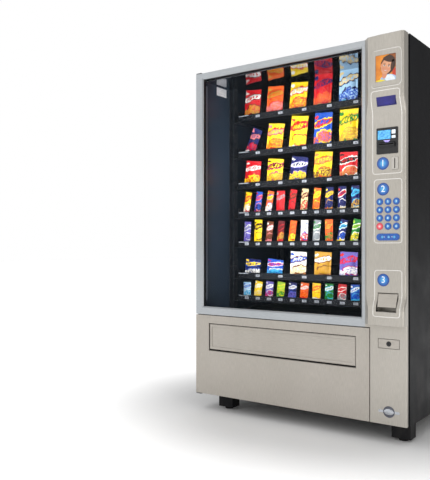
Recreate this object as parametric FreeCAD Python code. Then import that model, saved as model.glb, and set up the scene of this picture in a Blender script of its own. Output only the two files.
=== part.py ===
import FreeCAD, Part
import math
import os

# A glass-fronted snack vending machine.
# Millimetres. +X is to the right of someone facing the machine, -Y is its front, +Z is up.
# The origin is the centre of its footprint, on the floor.

V = FreeCAD.Vector

# ---------------------------------------------------------------- overall sizes
machine_width = 1194.0
machine_height = 1829.0
machine_depth = 958.0
leg_height = 85.0

# ---------------------------------------------------------------- clearances
gap = 0.3                 # between a moving piece and what guides it
seam = 4.0                # visible gap between two door panels
flap_gap = 4.0            # round the delivery flap

# ---------------------------------------------------------------- door sizes
door_thickness = 30.0
gasket_space = 5.0        # door back to cabinet front
hinge_plate = 3.0
hinge_pin_radius = 4.0
pin_clearance_radius = 5.3
hinge_tail = 36.0         # of a hinge plate over or under the cabinet
door_edge_gap = 2.0       # door edge to a hinge plate
skin = 2.0                # sheet of the door panels
column_width = 197.0      # from the right side of the machine
column_lower_width = 173.0
column_bulge = 34.0       # the upper column stands this far ahead of the door face
column_field = 8.0        # and its middle field this far
surround_rise = 2.0       # the picture screen's surround stands on the bulge
column_corner = 14.0
column_reach = 62.0       # of the shallow slope beside the column's left chamfer
column_skin = 3.0
window_left_inset = 10.5  # of the window, from the left wall's inner face
window_right_border = 22.0
window_top_border = 33.0
window_bottom_border = 43.0
panel_top = 512.0         # top edge of the lower panel
glass_thickness = 5.0
glass_lap = 11.0          # glass behind the window frame, each side

# ---------------------------------------------------------------- column heights
lip_bottom = 531.0        # the bulge over the coin cup begins
lip_top = 598.0
field_bottom = 663.0
field_top = 1466.0
brow_bottom = 1548.0      # the bulge round the picture screen begins

# ---------------------------------------------------------------- pieces of the column
column_centre_inset = 84.0 # of the column's fittings, from the machine's right side
screen_size = (95.0, 117.0)
screen_centre_z = 1672.0
surround_border = 21.0
display_size = (92.0, 40.0)
display_centre_z = 1527.0
validator_size = (99.0, 116.0)
validator_centre_z = 1354.0
validator_body_height = 210.0
validator_body_depth = 120.0
coin_plate_size = (32.0, 55.0)
coin_plate_offset = 32.0  # of the coin plate, right of the column's fittings
coin_plate_centre_z = 1251.5
coin_slot_size = (4.0, 44.0)
key_radius = 15.5
key_height = 2.5          # of the cap above the column
key_depth = 8.0           # of the whole key
key_lip = 1.5             # the rim behind the skin that keeps a key in
key_pitch_x = 39.0
key_pitch_z = 36.7
key_top_row_z = 1083.0
key_bar_size = (108.0, 30.0)
key_bar_z = 925.0
cup_size = (97.0, 84.0)
cup_bottom_z = 592.0
cup_depth = 44.0
cup_wall = 2.0
coin_flap_width = 91.0
coin_flap_bottom_width = 85.0
coin_flap_top_z = 671.0
coin_flap_bottom_z = 613.0
coin_flap_thickness = 2.5
lock_size = (102.0, 44.0)
lock_centre_z = 448.0
lock_handle_depth = 12.0
lock_radius = 11.0
lock_bar_radius = 8.0
changer_size = (132.0, 76.0, 370.0)
changer_bottom_z = 800.0
cash_box_size = (124.0, 70.0, 150.0)
cash_box_bottom_z = 240.0

# ---------------------------------------------------------------- delivery
hatch_left_inset = 88.0   # from the machine's left side
hatch_right_inset = 66.0  # from the lower panel's right edge
hatch_bottom = 323.0
hatch_top = 470.0
hatch_collar = 4.0
hatch_slope = 2.5         # of the lead-in along the hatch's lower edge
flap_sheet = 2.5
flap_foot_gap = 8.0       # under the flap, wide enough to see as a dark line
flap_setback = 6.0        # flap face behind the door face
flap_pin_radius = 3.0
flap_axis_drop = 11.0     # flap axis below the hatch's top edge
flap_axis_back = 4.0      # flap axis behind the flap's face
bin_depth = 195.0
bin_wall = 3.0
bin_top = 500.0
baffle_length = 130.0
baffle_sheet = 2.0

# ---------------------------------------------------------------- cabinet sizes
wall = 37.0               # insulated walls
bay_wall = 12.0           # side wall of the electronics bay
back_wall = 39.0
inner_wall_inset = 173.0  # of its left face, from the machine's right side
inner_wall_thickness = 16.0
deck_height = 520.0
deck_thickness = 20.0
mirror_thickness = 3.0
foot_front_setback = 76.0
foot_size = (90.0, 66.0)
foot_side_inset = 12.0
left_foot_inset = 100.0   # the left legs stand further in, clear of the hinge
foot_sheet = 4.0
leveller_radius = 22.0
leveller_height = 12.0
leveller_stem = 8.0

# ---------------------------------------------------------------- rear service opening
service_bottom = 860.0
service_top = 1560.0
service_lap = 12.0
screw_radius = 2.0
louvre_pitch = 22.0
louvre_height = 6.0
louvre_count = 12
inlet_size = (28.0, 48.0)

# ---------------------------------------------------------------- trays
rail_tops = (1624.0, 1420.0, 1244.0, 1079.0, 913.0, 737.0, 611.0)
narrow_trays = (4, 5, 7)
selection_pitch = 74.0
selections = 12
tray_inset = 112.0        # of the trays, from the machine's left side
tray_margin = 4.0         # tray side to the first selection
tray_front_setback = 240.0
tray_depth = 583.0
tray_sheet = 2.0
rail_height = 34.0
rail_thickness = 12.0
tray_side_height = 52.0
divider_sheet = 1.6
divider_height = 74.0
runner_sheet = 3.0
runner_lap = 12.0
coil_radius = 28.0
coil_wire = 4.0
coil_pitch = 65.0
coil_turns = 8
coil_lift = 3.0           # coil above the tray's floor
coil_front_gap = 14.0
hub_thickness = 8.0
motor_size = (52.0, 36.0, 50.0)

# ---------------------------------------------------------------- packets
packets_deep = 1
bag_thickness = 38.0
bar_thickness = 17.0
bag_foot = 16.0           # of a bag above its tray's floor
bar_foot = 23.0
belly_drop = 20.0         # a bag fattens above its coil, this far short of the coil's width

# ---------------------------------------------------------------- places worked out from the sizes
left = -machine_width / 2
right = machine_width / 2
front = -machine_depth / 2
back = machine_depth / 2
door_face = front + column_bulge + surround_rise
door_back = door_face + door_thickness
cabinet_front = door_back + gasket_space
cabinet_top = machine_height - hinge_plate
door_bottom = leg_height + door_edge_gap
door_top = cabinet_top - door_edge_gap
column_left = right - column_width
column_centre = right - column_centre_inset
coin_plate_centre = (column_centre + coin_plate_offset, coin_plate_centre_z)
column_lower_left = right - column_lower_width
shell_back = back - skin
cavity_left = left + wall
inner_wall_left = right - inner_wall_inset
tray_left = left + tray_inset
cavity_right = right - bay_wall
cavity_back = back - back_wall
cavity_bottom = leg_height + wall
cavity_top = cabinet_top - wall
service_left = inner_wall_left + inner_wall_thickness + 18.0
service_right = cavity_right - 15.0
inlet_centre = ((service_left + service_right) / 2, service_bottom + 60.0)
bay_left = inner_wall_left + inner_wall_thickness + 2.0
bay_right = cavity_right - 20.0
window_bottom = panel_top + seam + window_bottom_border
window_top = door_top - window_top_border
window_left = cavity_left + window_left_inset
window_right = column_left - window_right_border
panel_right = column_lower_left - seam
hatch_left = left + hatch_left_inset
hatch_right = panel_right - hatch_right_inset
frame_front = door_face + 15.0
tray_front = door_face + tray_front_setback
tray_back = tray_front + tray_depth
tray_width = 2 * tray_margin + selections * selection_pitch
tray_right = tray_left + tray_width
first_selection = tray_left + tray_margin + selection_pitch / 2
coil_front = tray_front + coil_front_gap
coil_length = coil_pitch * coil_turns
first_packet = coil_front + coil_pitch / 4
hinge_x = left + 9.0
hinge_y = door_face + 9.0
flap_axis_z = hatch_top - flap_axis_drop
flap_face = door_face + flap_setback
flap_axis_y = flap_face + flap_axis_back
bin_front = cabinet_front + 6.0
bin_back = bin_front + bin_depth
baffle_axis_y = bin_back - bin_wall - 8.0
baffle_axis_z = bin_top - 8.0
field_face = door_face - column_field
bulge_face = door_face - column_bulge
cup_back = field_face + cup_depth
coin_axis_z = coin_flap_top_z - 1.5
coin_axis_y = field_face + 4.0


# ---------------------------------------------------------------- helpers
def box(x0, x1, y0, y1, z0, z1):
    """A box between two corners."""
    return Part.makeBox(x1 - x0, y1 - y0, z1 - z0, V(x0, y0, z0))


def rod_x(x0, x1, y, z, radius):
    return Part.makeCylinder(radius, x1 - x0, V(x0, y, z), V(1, 0, 0))


def rod_y(x, y0, y1, z, radius):
    return Part.makeCylinder(radius, y1 - y0, V(x, y0, z), V(0, 1, 0))


def rod_z(x, y, z0, z1, radius):
    return Part.makeCylinder(radius, z1 - z0, V(x, y, z0), V(0, 0, 1))


def prism_x(points, x0, x1):
    """An outline of (y, z) points carried from x0 to x1."""
    wire = Part.makePolygon([V(x0, y, z) for y, z in points + [points[0]]])
    return Part.Face(wire).extrude(V(x1 - x0, 0, 0))


def prism_y(points, y0, y1):
    """An outline of (x, z) points carried from y0 to y1."""
    wire = Part.makePolygon([V(x, y0, z) for x, z in points + [points[0]]])
    return Part.Face(wire).extrude(V(0, y1 - y0, 0))


def rounded_plate(x, z, width, height, radius, y0, y1):
    """A plate with round corners, centred on (x, z), carried along Y."""
    plate = box(x - width / 2, x + width / 2, y0, y1, z - height / 2, z + height / 2)
    edges = [e for e in plate.Edges if abs(e.Vertexes[0].Y - e.Vertexes[-1].Y) > 1e-6]
    return plate.makeFillet(min(radius, width / 2 - 0.01, height / 2 - 0.01), edges)


def fuse(solids):
    return solids[0].multiFuse(solids[1:]).removeSplitter()


def save(name, *solids):
    """One node: a single solid, or a group of separate ones."""
    shape = solids[0] if len(solids) == 1 else Part.makeCompound(list(solids))
    shape.exportStep("parts/%s.step" % name)
    count = len(shape.Solids)
    size = shape.BoundBox
    print("%-18s %4d solids  x %7.1f %7.1f  y %7.1f %7.1f  z %7.1f %7.1f  %s" % (
        name, count, size.XMin, size.XMax, size.YMin, size.YMax, size.ZMin, size.ZMax,
        "ok" if shape.isValid() and count else "BAD"))


# ---------------------------------------------------------------- cabinet
def make_cabinet():
    """Outer steel skin with a flange round its open front and a service opening behind the bay."""
    shell = box(left, right, cabinet_front, shell_back, leg_height, cabinet_top)
    inside = box(left + skin, right - skin, cabinet_front + skin, shell_back - skin, leg_height + skin,
                 cabinet_top - skin)
    mouth = box(cavity_left, cavity_right, cabinet_front, cabinet_front + skin, cavity_bottom,
                cavity_top)
    shell = shell.cut(inside).cut(mouth)
    shell = shell.cut(service_opening(shell_back - skin, shell_back))
    for x, z in cover_screws():
        shell = shell.cut(rod_y(x, shell_back - skin, shell_back, z, screw_radius + 0.1))
    return shell


def service_opening(y0, y1):
    return box(service_left, service_right, y0, y1, service_bottom, service_top)


def cover_screws():
    """Places of the screws that hold the rear cover, down both of its sides."""
    heights = (service_bottom + 20.0, (service_bottom + service_top) / 2, service_top - 20.0)
    return [(x, z) for x in (service_left - service_lap / 2,
                             service_right + service_lap / 2) for z in heights]


def make_rear_cover():
    """Louvred plate over the service opening, with its screws."""
    plate = box(service_left - service_lap, service_right + service_lap, shell_back, back,
                service_bottom - service_lap, service_top + service_lap)
    middle = (service_left + service_right) / 2
    half = (service_right - service_left) / 2 - 14.0
    for i in range(louvre_count):
        z = service_top - 60.0 - i * louvre_pitch
        plate = plate.cut(box(middle - half, middle + half, shell_back, back, z, z + louvre_height))
    width, height = inlet_size
    x, z = inlet_centre
    plate = plate.cut(box(x - width / 2, x + width / 2, shell_back, back, z - height / 2,
                          z + height / 2))
    screws = []
    for x, z in cover_screws():
        plate = plate.cut(rod_y(x, shell_back, back, z, screw_radius + 0.1))
        screws.append(rod_y(x, shell_back - skin, back, z, screw_radius))
    return [plate] + screws


def make_control_box():
    """Power supply and control board box on the bay's rear wall, and its mains inlet."""
    x0 = service_left + 2.0
    x1 = service_right - 2.0
    casing = box(x0, x1, 200.0, cavity_back - 4.0, 1010.0, 1480.0)
    casing = casing.cut(box(x0 + 2, x1 - 2, 202.0, cavity_back - 6.0, 1012.0, 1478.0))
    board = box(x0 + 12, x1 - 12, 230.0, 232.0, 1030.0, 1460.0)
    posts = [rod_y(x, 202.0, 230.0, z, 3.0) for x in (x0 + 20, x1 - 20) for z in (1045.0, 1445.0)]
    supply = box(x0 + 14, x1 - 14, 300.0, 400.0, 1040.0, 1240.0)
    shelf = box(x0 + 2, x1 - 2, 290.0, cavity_back - 6.0, 1030.0, 1040.0)
    width, height = inlet_size
    x, z = inlet_centre
    inlet = box(x - width / 2 + gap, x + width / 2 - gap, cavity_back + 6.0, back,
                z - height / 2 + gap, z + height / 2 - gap)
    inlet = inlet.cut(box(x - 10, x + 10, back - 16.0, back, z - 12, z + 12))
    for dx, dz in ((-5.0, -4.0), (5.0, -4.0), (0.0, 5.0)):
        inlet = inlet.fuse(box(x + dx - 1, x + dx + 1, back - 17.0, back - 5.0, z + dz - 2.5,
                               z + dz + 2.5))
    return [casing, board, supply, shelf] + posts + [inlet]


def make_inner_liner():
    """Foam-filled lining of the cabinet, the wall beside the bay, and the deck and its bulkhead."""
    lining = box(left + skin, right - skin, cabinet_front + skin, shell_back - skin, leg_height + skin,
                 cabinet_top - skin)
    lining = lining.cut(box(cavity_left, cavity_right, cabinet_front, cavity_back, cavity_bottom,
                            cavity_top))
    lining = lining.cut(service_opening(cavity_back, shell_back))
    partition = box(inner_wall_left, inner_wall_left + inner_wall_thickness, cabinet_front, cavity_back,
                    cavity_bottom, cavity_top)
    deck = box(cavity_left, inner_wall_left, bin_back + 4.0, cavity_back,
               deck_height - deck_thickness, deck_height)
    bulkhead = box(cavity_left, inner_wall_left, bin_back + 4.0, bin_back + 4.0 + deck_thickness,
                   cavity_bottom, deck_height - deck_thickness)
    return [lining, partition, deck.fuse(bulkhead).removeSplitter()]


def tray_floor(number):
    return rail_tops[number - 1] - rail_height + tray_sheet


def make_tray_runners():
    """Slotted posts at the sides and an angle under each side of every tray."""
    solids = []
    left_face = tray_left - 40.0
    for y in (tray_front + 14.0, tray_back - 60.0):
        post = box(cavity_left, left_face, y, y + 34.0, deck_height, cavity_top - mirror_thickness)
        post = post.cut(box(cavity_left + 3, left_face - 3, y, y + 31.0, deck_height, cavity_top))
        solids.append(post)
        solids.append(box(inner_wall_left - 8.0, inner_wall_left, y, y + 34.0, deck_height,
                          cavity_top - mirror_thickness))
    for number in range(1, len(rail_tops) + 1):
        under = tray_floor(number) - tray_sheet - gap
        y0 = tray_front + 10.0
        y1 = tray_back - 8.0
        shelf = box(left_face, tray_left + runner_lap, y0, y1, under - runner_sheet, under)
        web = box(left_face, left_face + runner_sheet, y0, y1, under, under + 34.0)
        solids.append(shelf.fuse(web).removeSplitter())
        x0 = tray_right + 1.0
        x1 = inner_wall_left - 8.0
        shelf = box(tray_right - runner_lap, x1, y0, y1, under - runner_sheet, under)
        web = box(x0, x1, y0, y1, under, under + 34.0)
        solids.append(shelf.fuse(web).removeSplitter())
    return solids


def make_ceiling_mirror():
    return box(cavity_left, inner_wall_left, cabinet_front + 6.0, cavity_back,
               cavity_top - mirror_thickness, cavity_top)


def make_delivery_bin():
    """Folded steel tub that catches a dropped packet, open to the front and above."""
    x0 = cavity_left + 8.0
    x1 = inner_wall_left - 8.0
    floor = hatch_bottom - 6.0
    tub = box(x0, x1, bin_front, bin_back, floor - bin_wall, bin_top)
    tub = tub.cut(box(x0 + bin_wall, x1 - bin_wall, bin_front, bin_back - bin_wall, floor, bin_top))
    lip = box(x0, x1, bin_front, bin_front + bin_wall, floor, floor + 8.0)
    tub = tub.fuse(lip).removeSplitter()
    bore = flap_pin_radius + 0.05
    tub = tub.cut(rod_x(x0, x0 + bin_wall, baffle_axis_y, baffle_axis_z, bore))
    return tub.cut(rod_x(x1 - bin_wall, x1, baffle_axis_y, baffle_axis_z, bore))


def make_security_baffle():
    """Plate that swings up over the bin when the delivery flap is pushed in."""
    x0 = cavity_left + 8.0 + bin_wall
    x1 = inner_wall_left - 8.0 - bin_wall
    plate = box(x0 + 2, x1 - 2, baffle_axis_y - baffle_sheet / 2, baffle_axis_y + baffle_sheet / 2,
                baffle_axis_z - baffle_length, baffle_axis_z)
    tube = rod_x(x0 + 2, x1 - 2, baffle_axis_y, baffle_axis_z, 4.0)
    pins = rod_x(x0 - bin_wall, x1 + bin_wall, baffle_axis_y, baffle_axis_z, flap_pin_radius)
    return fuse([plate, tube, pins])


def make_legs():
    """Four folded steel legs, each with a levelling foot screwed up into it."""
    solids = []
    width, depth = foot_size
    front_y = door_face + foot_front_setback
    for x0 in (left + left_foot_inset, right - foot_side_inset - width):
        for y0 in (front_y, back - foot_front_setback - depth + 40.0):
            leg = box(x0, x0 + width, y0, y0 + depth, leveller_height, leg_height)
            hollow = box(x0 + foot_sheet, x0 + width - foot_sheet, y0 + foot_sheet, y0 + depth,
                         leveller_height + foot_sheet, leg_height - foot_sheet)
            x = x0 + width / 2
            y = y0 + depth / 2
            leg = leg.cut(hollow).cut(rod_z(x, y, leveller_height, leveller_height + foot_sheet,
                                            leveller_stem))
            pad = rod_z(x, y, 0.0, leveller_height - 2.0, leveller_radius)
            stem = rod_z(x, y, leveller_height - 2.0, leveller_height + 40.0, leveller_stem)
            solids.append(leg)
            solids.append(fuse([pad, stem]))
    return solids


def make_hinges():
    """Two pivot plates fixed to the cabinet, each with the pin that the door turns on."""
    y1 = cabinet_front + hinge_tail
    solids = []
    for z0, z1, end in ((leg_height - hinge_plate, leg_height, 24.0), (cabinet_top, machine_height,
                                                                       -24.0)):
        plate = box(left, left + 34.0, hinge_y - 8.0, y1, z0, z1)
        near = z1 if end > 0 else z0
        pin = rod_z(hinge_x, hinge_y, min(near, near + end), max(near, near + end), hinge_pin_radius)
        solids.append(fuse([plate, pin]))
    return solids


# ---------------------------------------------------------------- door
def hinge_block(z0, z1, allowance):
    """The corner block of the door frame that a hinge pin turns in."""
    return box(left + skin + 0.5 - allowance, left + 20.0 + allowance,
               door_face + skin + 0.5 - allowance,
               frame_front + allowance, z0 - allowance, z1 + allowance)


def make_door_frame():
    """Steel frame behind the door's panels, with openings for window, hatch and column."""
    edge = skin + 1.0
    frame = box(left + edge, right - edge, frame_front, door_back, door_bottom + edge, door_top - edge)
    frame = frame.cut(box(window_left - 1, window_right + 1, frame_front, door_back, window_bottom - 1,
                          window_top + 1))
    frame = frame.cut(box(hatch_left - 8, hatch_right + 8, frame_front, door_back, hatch_bottom - 8,
                          hatch_top + 12))
    frame = frame.cut(box(bay_left, bay_right, frame_front, door_back, 400.0, 1760.0))
    blocks = [hinge_block(door_bottom + edge, door_bottom + edge + 26.0, 0.0),
              hinge_block(door_top - edge - 26.0, door_top - edge, 0.0)]
    frame = fuse([frame] + blocks)
    return frame.cut(rod_z(hinge_x, hinge_y, door_bottom, door_top, hinge_pin_radius + 0.05))


def make_window_frame():
    """Bright frame round the glass, with a sloped inner edge and a rebate for the glass."""
    y1 = frame_front
    frame = box(left, column_left, door_face, y1, panel_top + seam, door_top)
    slope = 7.0
    outer = Part.makePolygon([V(window_left - slope, door_face, window_bottom - slope),
                              V(window_right + slope, door_face, window_bottom - slope),
                              V(window_right + slope, door_face, window_top + slope),
                              V(window_left - slope, door_face, window_top + slope),
                              V(window_left - slope, door_face, window_bottom - slope)])
    inner = Part.makePolygon([V(window_left, door_face + slope, window_bottom),
                              V(window_right, door_face + slope, window_bottom),
                              V(window_right, door_face + slope, window_top),
                              V(window_left, door_face + slope, window_top),
                              V(window_left, door_face + slope, window_bottom)])
    frame = frame.cut(Part.makeLoft([outer, inner], True, True))
    frame = frame.cut(box(window_left, window_right, door_face, y1, window_bottom, window_top))
    lap = glass_lap + gap
    frame = frame.cut(box(window_left - lap, window_right + lap, y1 - glass_thickness - gap, y1,
                          window_bottom - lap, window_top + lap))
    frame = frame.cut(hinge_block(door_top - 32.0, door_top - 1.0, 1.0))
    return frame.cut(rod_z(hinge_x, hinge_y, door_top - 4.0, door_top, pin_clearance_radius))


def make_window_glass():
    return box(window_left - glass_lap, window_right + glass_lap, frame_front - glass_thickness,
               frame_front,
               window_bottom - glass_lap, window_top + glass_lap)


def make_door_gasket():
    """Soft ring that the door shuts on, round the product space."""
    x0 = cavity_left - 26.0
    x1 = inner_wall_left + 14.0
    z0 = cavity_bottom - 24.0
    z1 = cavity_top + 24.0
    ring = box(x0, x1, door_back, cabinet_front - gap, z0, z1)
    return ring.cut(box(x0 + 12, x1 - 12, door_back, cabinet_front, z0 + 12, z1 - 12))


def make_lamp_strips():
    """Two lamp strips on the back of the door frame, beside the glass."""
    solids = []
    for x0, x1 in ((cavity_left + 3.0, window_left - 2.0), (window_right + 2.0, window_right + 11.0)):
        solids.append(box(x0, x1, door_back, door_back + 12.0, window_bottom + 30.0, window_top - 30.0))
    return solids


def make_lower_panel():
    """Pressed panel under the window, with a collar round the delivery hatch."""
    y1 = frame_front
    panel = box(left, panel_right, door_face, y1, door_bottom, panel_top)
    panel = panel.cut(box(left + skin, panel_right - skin, door_face + skin, y1, door_bottom + skin,
                          panel_top - skin))
    wall_out = hatch_collar
    collar = box(hatch_left - wall_out, hatch_right + wall_out, door_face, y1,
                 hatch_bottom - wall_out, hatch_top + wall_out)
    panel = panel.fuse(collar).removeSplitter()
    panel = panel.cut(box(hatch_left, hatch_right, door_face, y1, hatch_bottom, hatch_top))
    bevel = prism_x([(door_face - 1.0, hatch_bottom - hatch_slope - 1.0),
                     (door_face + hatch_slope + 1.0, hatch_bottom + 1.0),
                     (door_face - 1.0, hatch_bottom + 1.0)], hatch_left, hatch_right)
    panel = panel.cut(bevel)
    bore = flap_pin_radius + 0.05
    panel = panel.cut(rod_x(hatch_left - wall_out, hatch_left, flap_axis_y, flap_axis_z, bore))
    panel = panel.cut(rod_x(hatch_right, hatch_right + wall_out, flap_axis_y, flap_axis_z, bore))
    panel = panel.cut(rod_z(hinge_x, hinge_y, door_bottom, door_bottom + 4.0, pin_clearance_radius))
    return panel


def make_delivery_flap():
    """Sheet flap hung on two end pins; it is pushed in at its lower edge."""
    x0 = hatch_left + flap_gap
    x1 = hatch_right - flap_gap
    z0 = hatch_bottom + flap_foot_gap
    z1 = hatch_top - flap_gap
    sheet = box(x0, x1, flap_face, flap_face + flap_sheet, z0, z1)
    hem = box(x0, x1, flap_face + flap_sheet, flap_face + flap_sheet + 5.0, z0, z0 + flap_sheet)
    tube = rod_x(x0, x1, flap_axis_y, flap_axis_z, 4.0)
    pins = rod_x(hatch_left - hatch_collar, hatch_right + hatch_collar, flap_axis_y, flap_axis_z,
                 flap_pin_radius)
    return fuse([sheet, hem, tube, pins])


# ---------------------------------------------------------------- control column
def bulge_at(z):
    """How far the column stands ahead of the door face at a height."""
    def blend(t):
        return 0.5 - 0.5 * math.cos(math.pi * min(max(t, 0.0), 1.0))
    if z >= field_bottom and z <= field_top:
        return column_field
    rise = column_bulge - column_field
    if z > field_top:
        return column_field + rise * blend((z - field_top) / (brow_bottom - field_top))
    return column_field + rise * blend((field_bottom - z) / (field_bottom - lip_top))


def column_section(z, inset):
    """Plan outline of the upper column at a height, moved in by the skin when hollowed."""
    out = bulge_at(z) - inset
    x0 = column_left + inset
    x1 = right - inset
    corner = column_corner - inset
    y_back = frame_front + inset
    slope = 0.6 * out + 4.0
    a = V(x0, y_back, z)
    b = V(x0, door_face + 0.5 + inset, z)
    c = V(x0 + slope, door_face - 0.75 * out, z)
    rise = column_reach * out / column_bulge
    d = V(x0 + slope + rise, door_face - (1.0 - 0.06 * out / column_bulge) * out, z)
    e = V(x1 - corner, door_face - out, z)
    middle = V(x1 - corner + corner * math.sin(math.pi / 4),
               door_face - out + corner - corner * math.cos(math.pi / 4), z)
    f = V(x1, door_face - out + corner, z)
    g = V(x1, y_back, z)
    edges = [Part.LineSegment(p, q).toShape() for p, q in ((a, b), (b, c), (c, d), (d, e))]
    edges.append(Part.Arc(e, middle, f).toShape())
    edges.append(Part.LineSegment(f, g).toShape())
    edges.append(Part.LineSegment(g, a).toShape())
    return Part.Wire(edges)


def column_heights(z0, z1):
    """Heights of the sections: close together where the bulge comes and goes."""
    steps = 6
    heights = [z0]
    for low, high in ((lip_top, field_bottom), (field_top, brow_bottom)):
        heights += [low + (high - low) * i / steps for i in range(steps + 1)]
    return heights + [z1]


def make_column_blank(inset):
    z0 = lip_bottom + inset
    z1 = door_top - inset
    upper = Part.makeLoft([column_section(z, inset) for z in column_heights(z0, z1)], True, True)
    lower = box(column_lower_left + inset, right - inset, door_face + inset, frame_front + inset,
                door_bottom + inset, lip_bottom + 2 * inset)
    edge = [e for e in lower.Edges if abs(e.Vertexes[0].X - (right - inset)) < 0.1
            and abs(e.Vertexes[-1].X - (right - inset)) < 0.1
            and abs(e.Vertexes[0].Y - (door_face + inset)) < 0.1
            and abs(e.Vertexes[-1].Y - (door_face + inset)) < 0.1]
    lower = lower.makeFillet(8.0 - inset, edge)
    shoulder = box(column_left + inset, right - 10.0, door_face + inset, frame_front + inset,
                   panel_top + seam + inset, lip_bottom + 2 * inset)
    return upper.fuse(lower).fuse(shoulder)


def key_places():
    """Name and centre of every key cap."""
    names = (("key_1", "key_2", "key_3"), ("key_4", "key_5", "key_6"), ("key_7", "key_8", "key_9"),
             ("key_cancel", "key_0", "key_hash"))
    places = []
    for row, labels in enumerate(names):
        for column, name in enumerate(labels):
            x = column_centre + (column - 1) * key_pitch_x
            z = key_top_row_z - row * key_pitch_z
            places.append((name, x, z))
    return places


def make_control_column():
    """Moulded column: hollow, with pockets for everything that sits in it."""
    column = make_column_blank(0.0).removeSplitter()
    surround = rounded_plate(column_centre, screen_centre_z, screen_size[0] + 2 * surround_border,
                             screen_size[1] + 2 * surround_border, 14.0, front, bulge_face + 4.0)
    column = column.fuse(surround)
    column = column.cut(make_column_blank(column_skin))
    # pockets right through the skin
    y0 = front - 5.0
    y1 = frame_front
    column = column.cut(rounded_plate(column_centre, screen_centre_z, screen_size[0], screen_size[1],
                                      3.0, y0, y1))
    column = column.cut(rounded_plate(column_centre, display_centre_z, display_size[0],
                                      display_size[1], 1.0,
                                      y0, y1))
    column = column.cut(rounded_plate(column_centre - 3.5, validator_centre_z,
                                      validator_size[0] + 2 * gap,
                                      validator_size[1] + 2 * gap, 3.0, y0, y1))
    column = column.cut(rounded_plate(coin_plate_centre[0], coin_plate_centre[1],
                                      coin_plate_size[0] + 2 * gap,
                                      coin_plate_size[1] + 2 * gap, 5.0, y0, y1))
    for name, x, z in key_places():
        column = column.cut(rod_y(x, y0, y1, z, key_radius + gap))
    column = column.cut(rounded_plate(column_centre, key_bar_z, key_bar_size[0] + 2 * gap,
                                      key_bar_size[1] + 2 * gap, key_bar_size[1] / 2, y0, y1))
    # coin cup: walls, floor and back, open to the front
    half = cup_size[0] / 2
    column = column.cut(box(column_centre - half, column_centre + half, y0, cup_back, cup_bottom_z,
                            cup_bottom_z + cup_size[1]))
    cup = box(column_centre - half - cup_wall, column_centre + half + cup_wall, field_face,
              cup_back + cup_wall,
              cup_bottom_z - cup_wall, cup_bottom_z + cup_size[1] + cup_wall)
    cup = cup.cut(box(column_centre - half, column_centre + half, field_face, cup_back, cup_bottom_z,
                      cup_bottom_z + cup_size[1]))
    column = column.fuse(cup)
    bore = flap_pin_radius - 1.0 + 0.05
    column = column.cut(rod_x(column_centre - half - cup_wall, column_centre + half + cup_wall,
                              coin_axis_y,
                              coin_axis_z, bore))
    # lock recess: a pocket with a floor that the lock's stem goes through
    width, height = lock_size
    pocket = rounded_plate(column_centre, lock_centre_z, width + 4, height + 4, 4.0, door_face + 1.0,
                           door_face + lock_handle_depth + 3.0)
    column = column.fuse(pocket)
    column = column.cut(rounded_plate(column_centre, lock_centre_z, width, height, 3.0, door_face - 1.0,
                                      door_face + lock_handle_depth + 0.5))
    column = column.cut(rod_y(column_centre, door_face, frame_front + 20.0, lock_centre_z,
                              lock_bar_radius + 0.1))
    return column.removeSplitter()


def make_picture_screen():
    """Lit picture behind a clear sheet, in the surround at the top of the column."""
    width, height = screen_size
    y0 = bulge_face + 1.0
    pane = rounded_plate(column_centre, screen_centre_z, width - 2 * gap, height - 2 * gap, 2.7, y0,
                         y0 + 3.0)
    back_box = box(column_centre - width / 2 - 4, column_centre + width / 2 + 4,
                   bulge_face + column_skin + 5.6,
                   bulge_face + column_skin + 26.0, screen_centre_z - height / 2 - 4,
                   screen_centre_z + height / 2 + 4)
    link = box(column_centre - width / 2 + 3, column_centre + width / 2 - 3, y0 + 3.0,
               bulge_face + column_skin + 5.6, screen_centre_z - height / 2 + 3,
               screen_centre_z + height / 2 - 3)
    return fuse([pane, link, back_box])


def make_price_display():
    """Display window that lies on the slope between the brow and the middle field."""
    width, height = display_size
    half = height / 2 - gap
    z0 = display_centre_z - half
    z1 = display_centre_z + half
    y0 = door_face - bulge_at(z0) + 1.5
    y1 = door_face - bulge_at(z1) + 1.5
    pane = prism_x([(y0, z0), (y1, z1), (y1 + 5.0, z1), (y0 + 5.0, z0)],
                   column_centre - width / 2 + gap, column_centre + width / 2 - gap)
    board_y = door_face - column_field + column_skin + 2.0
    board = box(column_centre - width / 2 + 4, column_centre + width / 2 - 4, y1 + 5.0, board_y + 8.0,
                z0 + 4, z1 - 4)
    return fuse([pane, board])


def make_bill_validator():
    """Validator: a bezel with the note slot, the reader behind it and the note box above."""
    width, height = validator_size
    x = column_centre - 3.5
    z = validator_centre_z
    bezel = rounded_plate(x, z, width, height, 3.0, field_face - 4.0, field_face + 20.0)
    nose = prism_x([(field_face - 4.0, z - 6.0), (field_face - 14.0, z - 12.0), (field_face - 14.0,
                                                                                 z - 22.0),
                    (field_face - 4.0, z - 34.0)], x - 38.0, x + 38.0)
    bezel = bezel.fuse(nose)
    bezel = bezel.cut(box(x - 34.0, x + 34.0, field_face - 20.0, field_face + 14.0, z - 19.0, z - 15.0))
    body = box(bay_left + 6, bay_right - 6, field_face + 20.0, field_face + 20.0 + validator_body_depth,
               z - height / 2 + 4, z - height / 2 + 4 + validator_body_height)
    body = body.cut(box(bay_left, bay_right, field_face + 19.0, frame_front + 14.0, z + height / 2 - 4.0,
                        z + validator_body_height))
    return bezel.fuse(body).removeSplitter()


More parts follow.
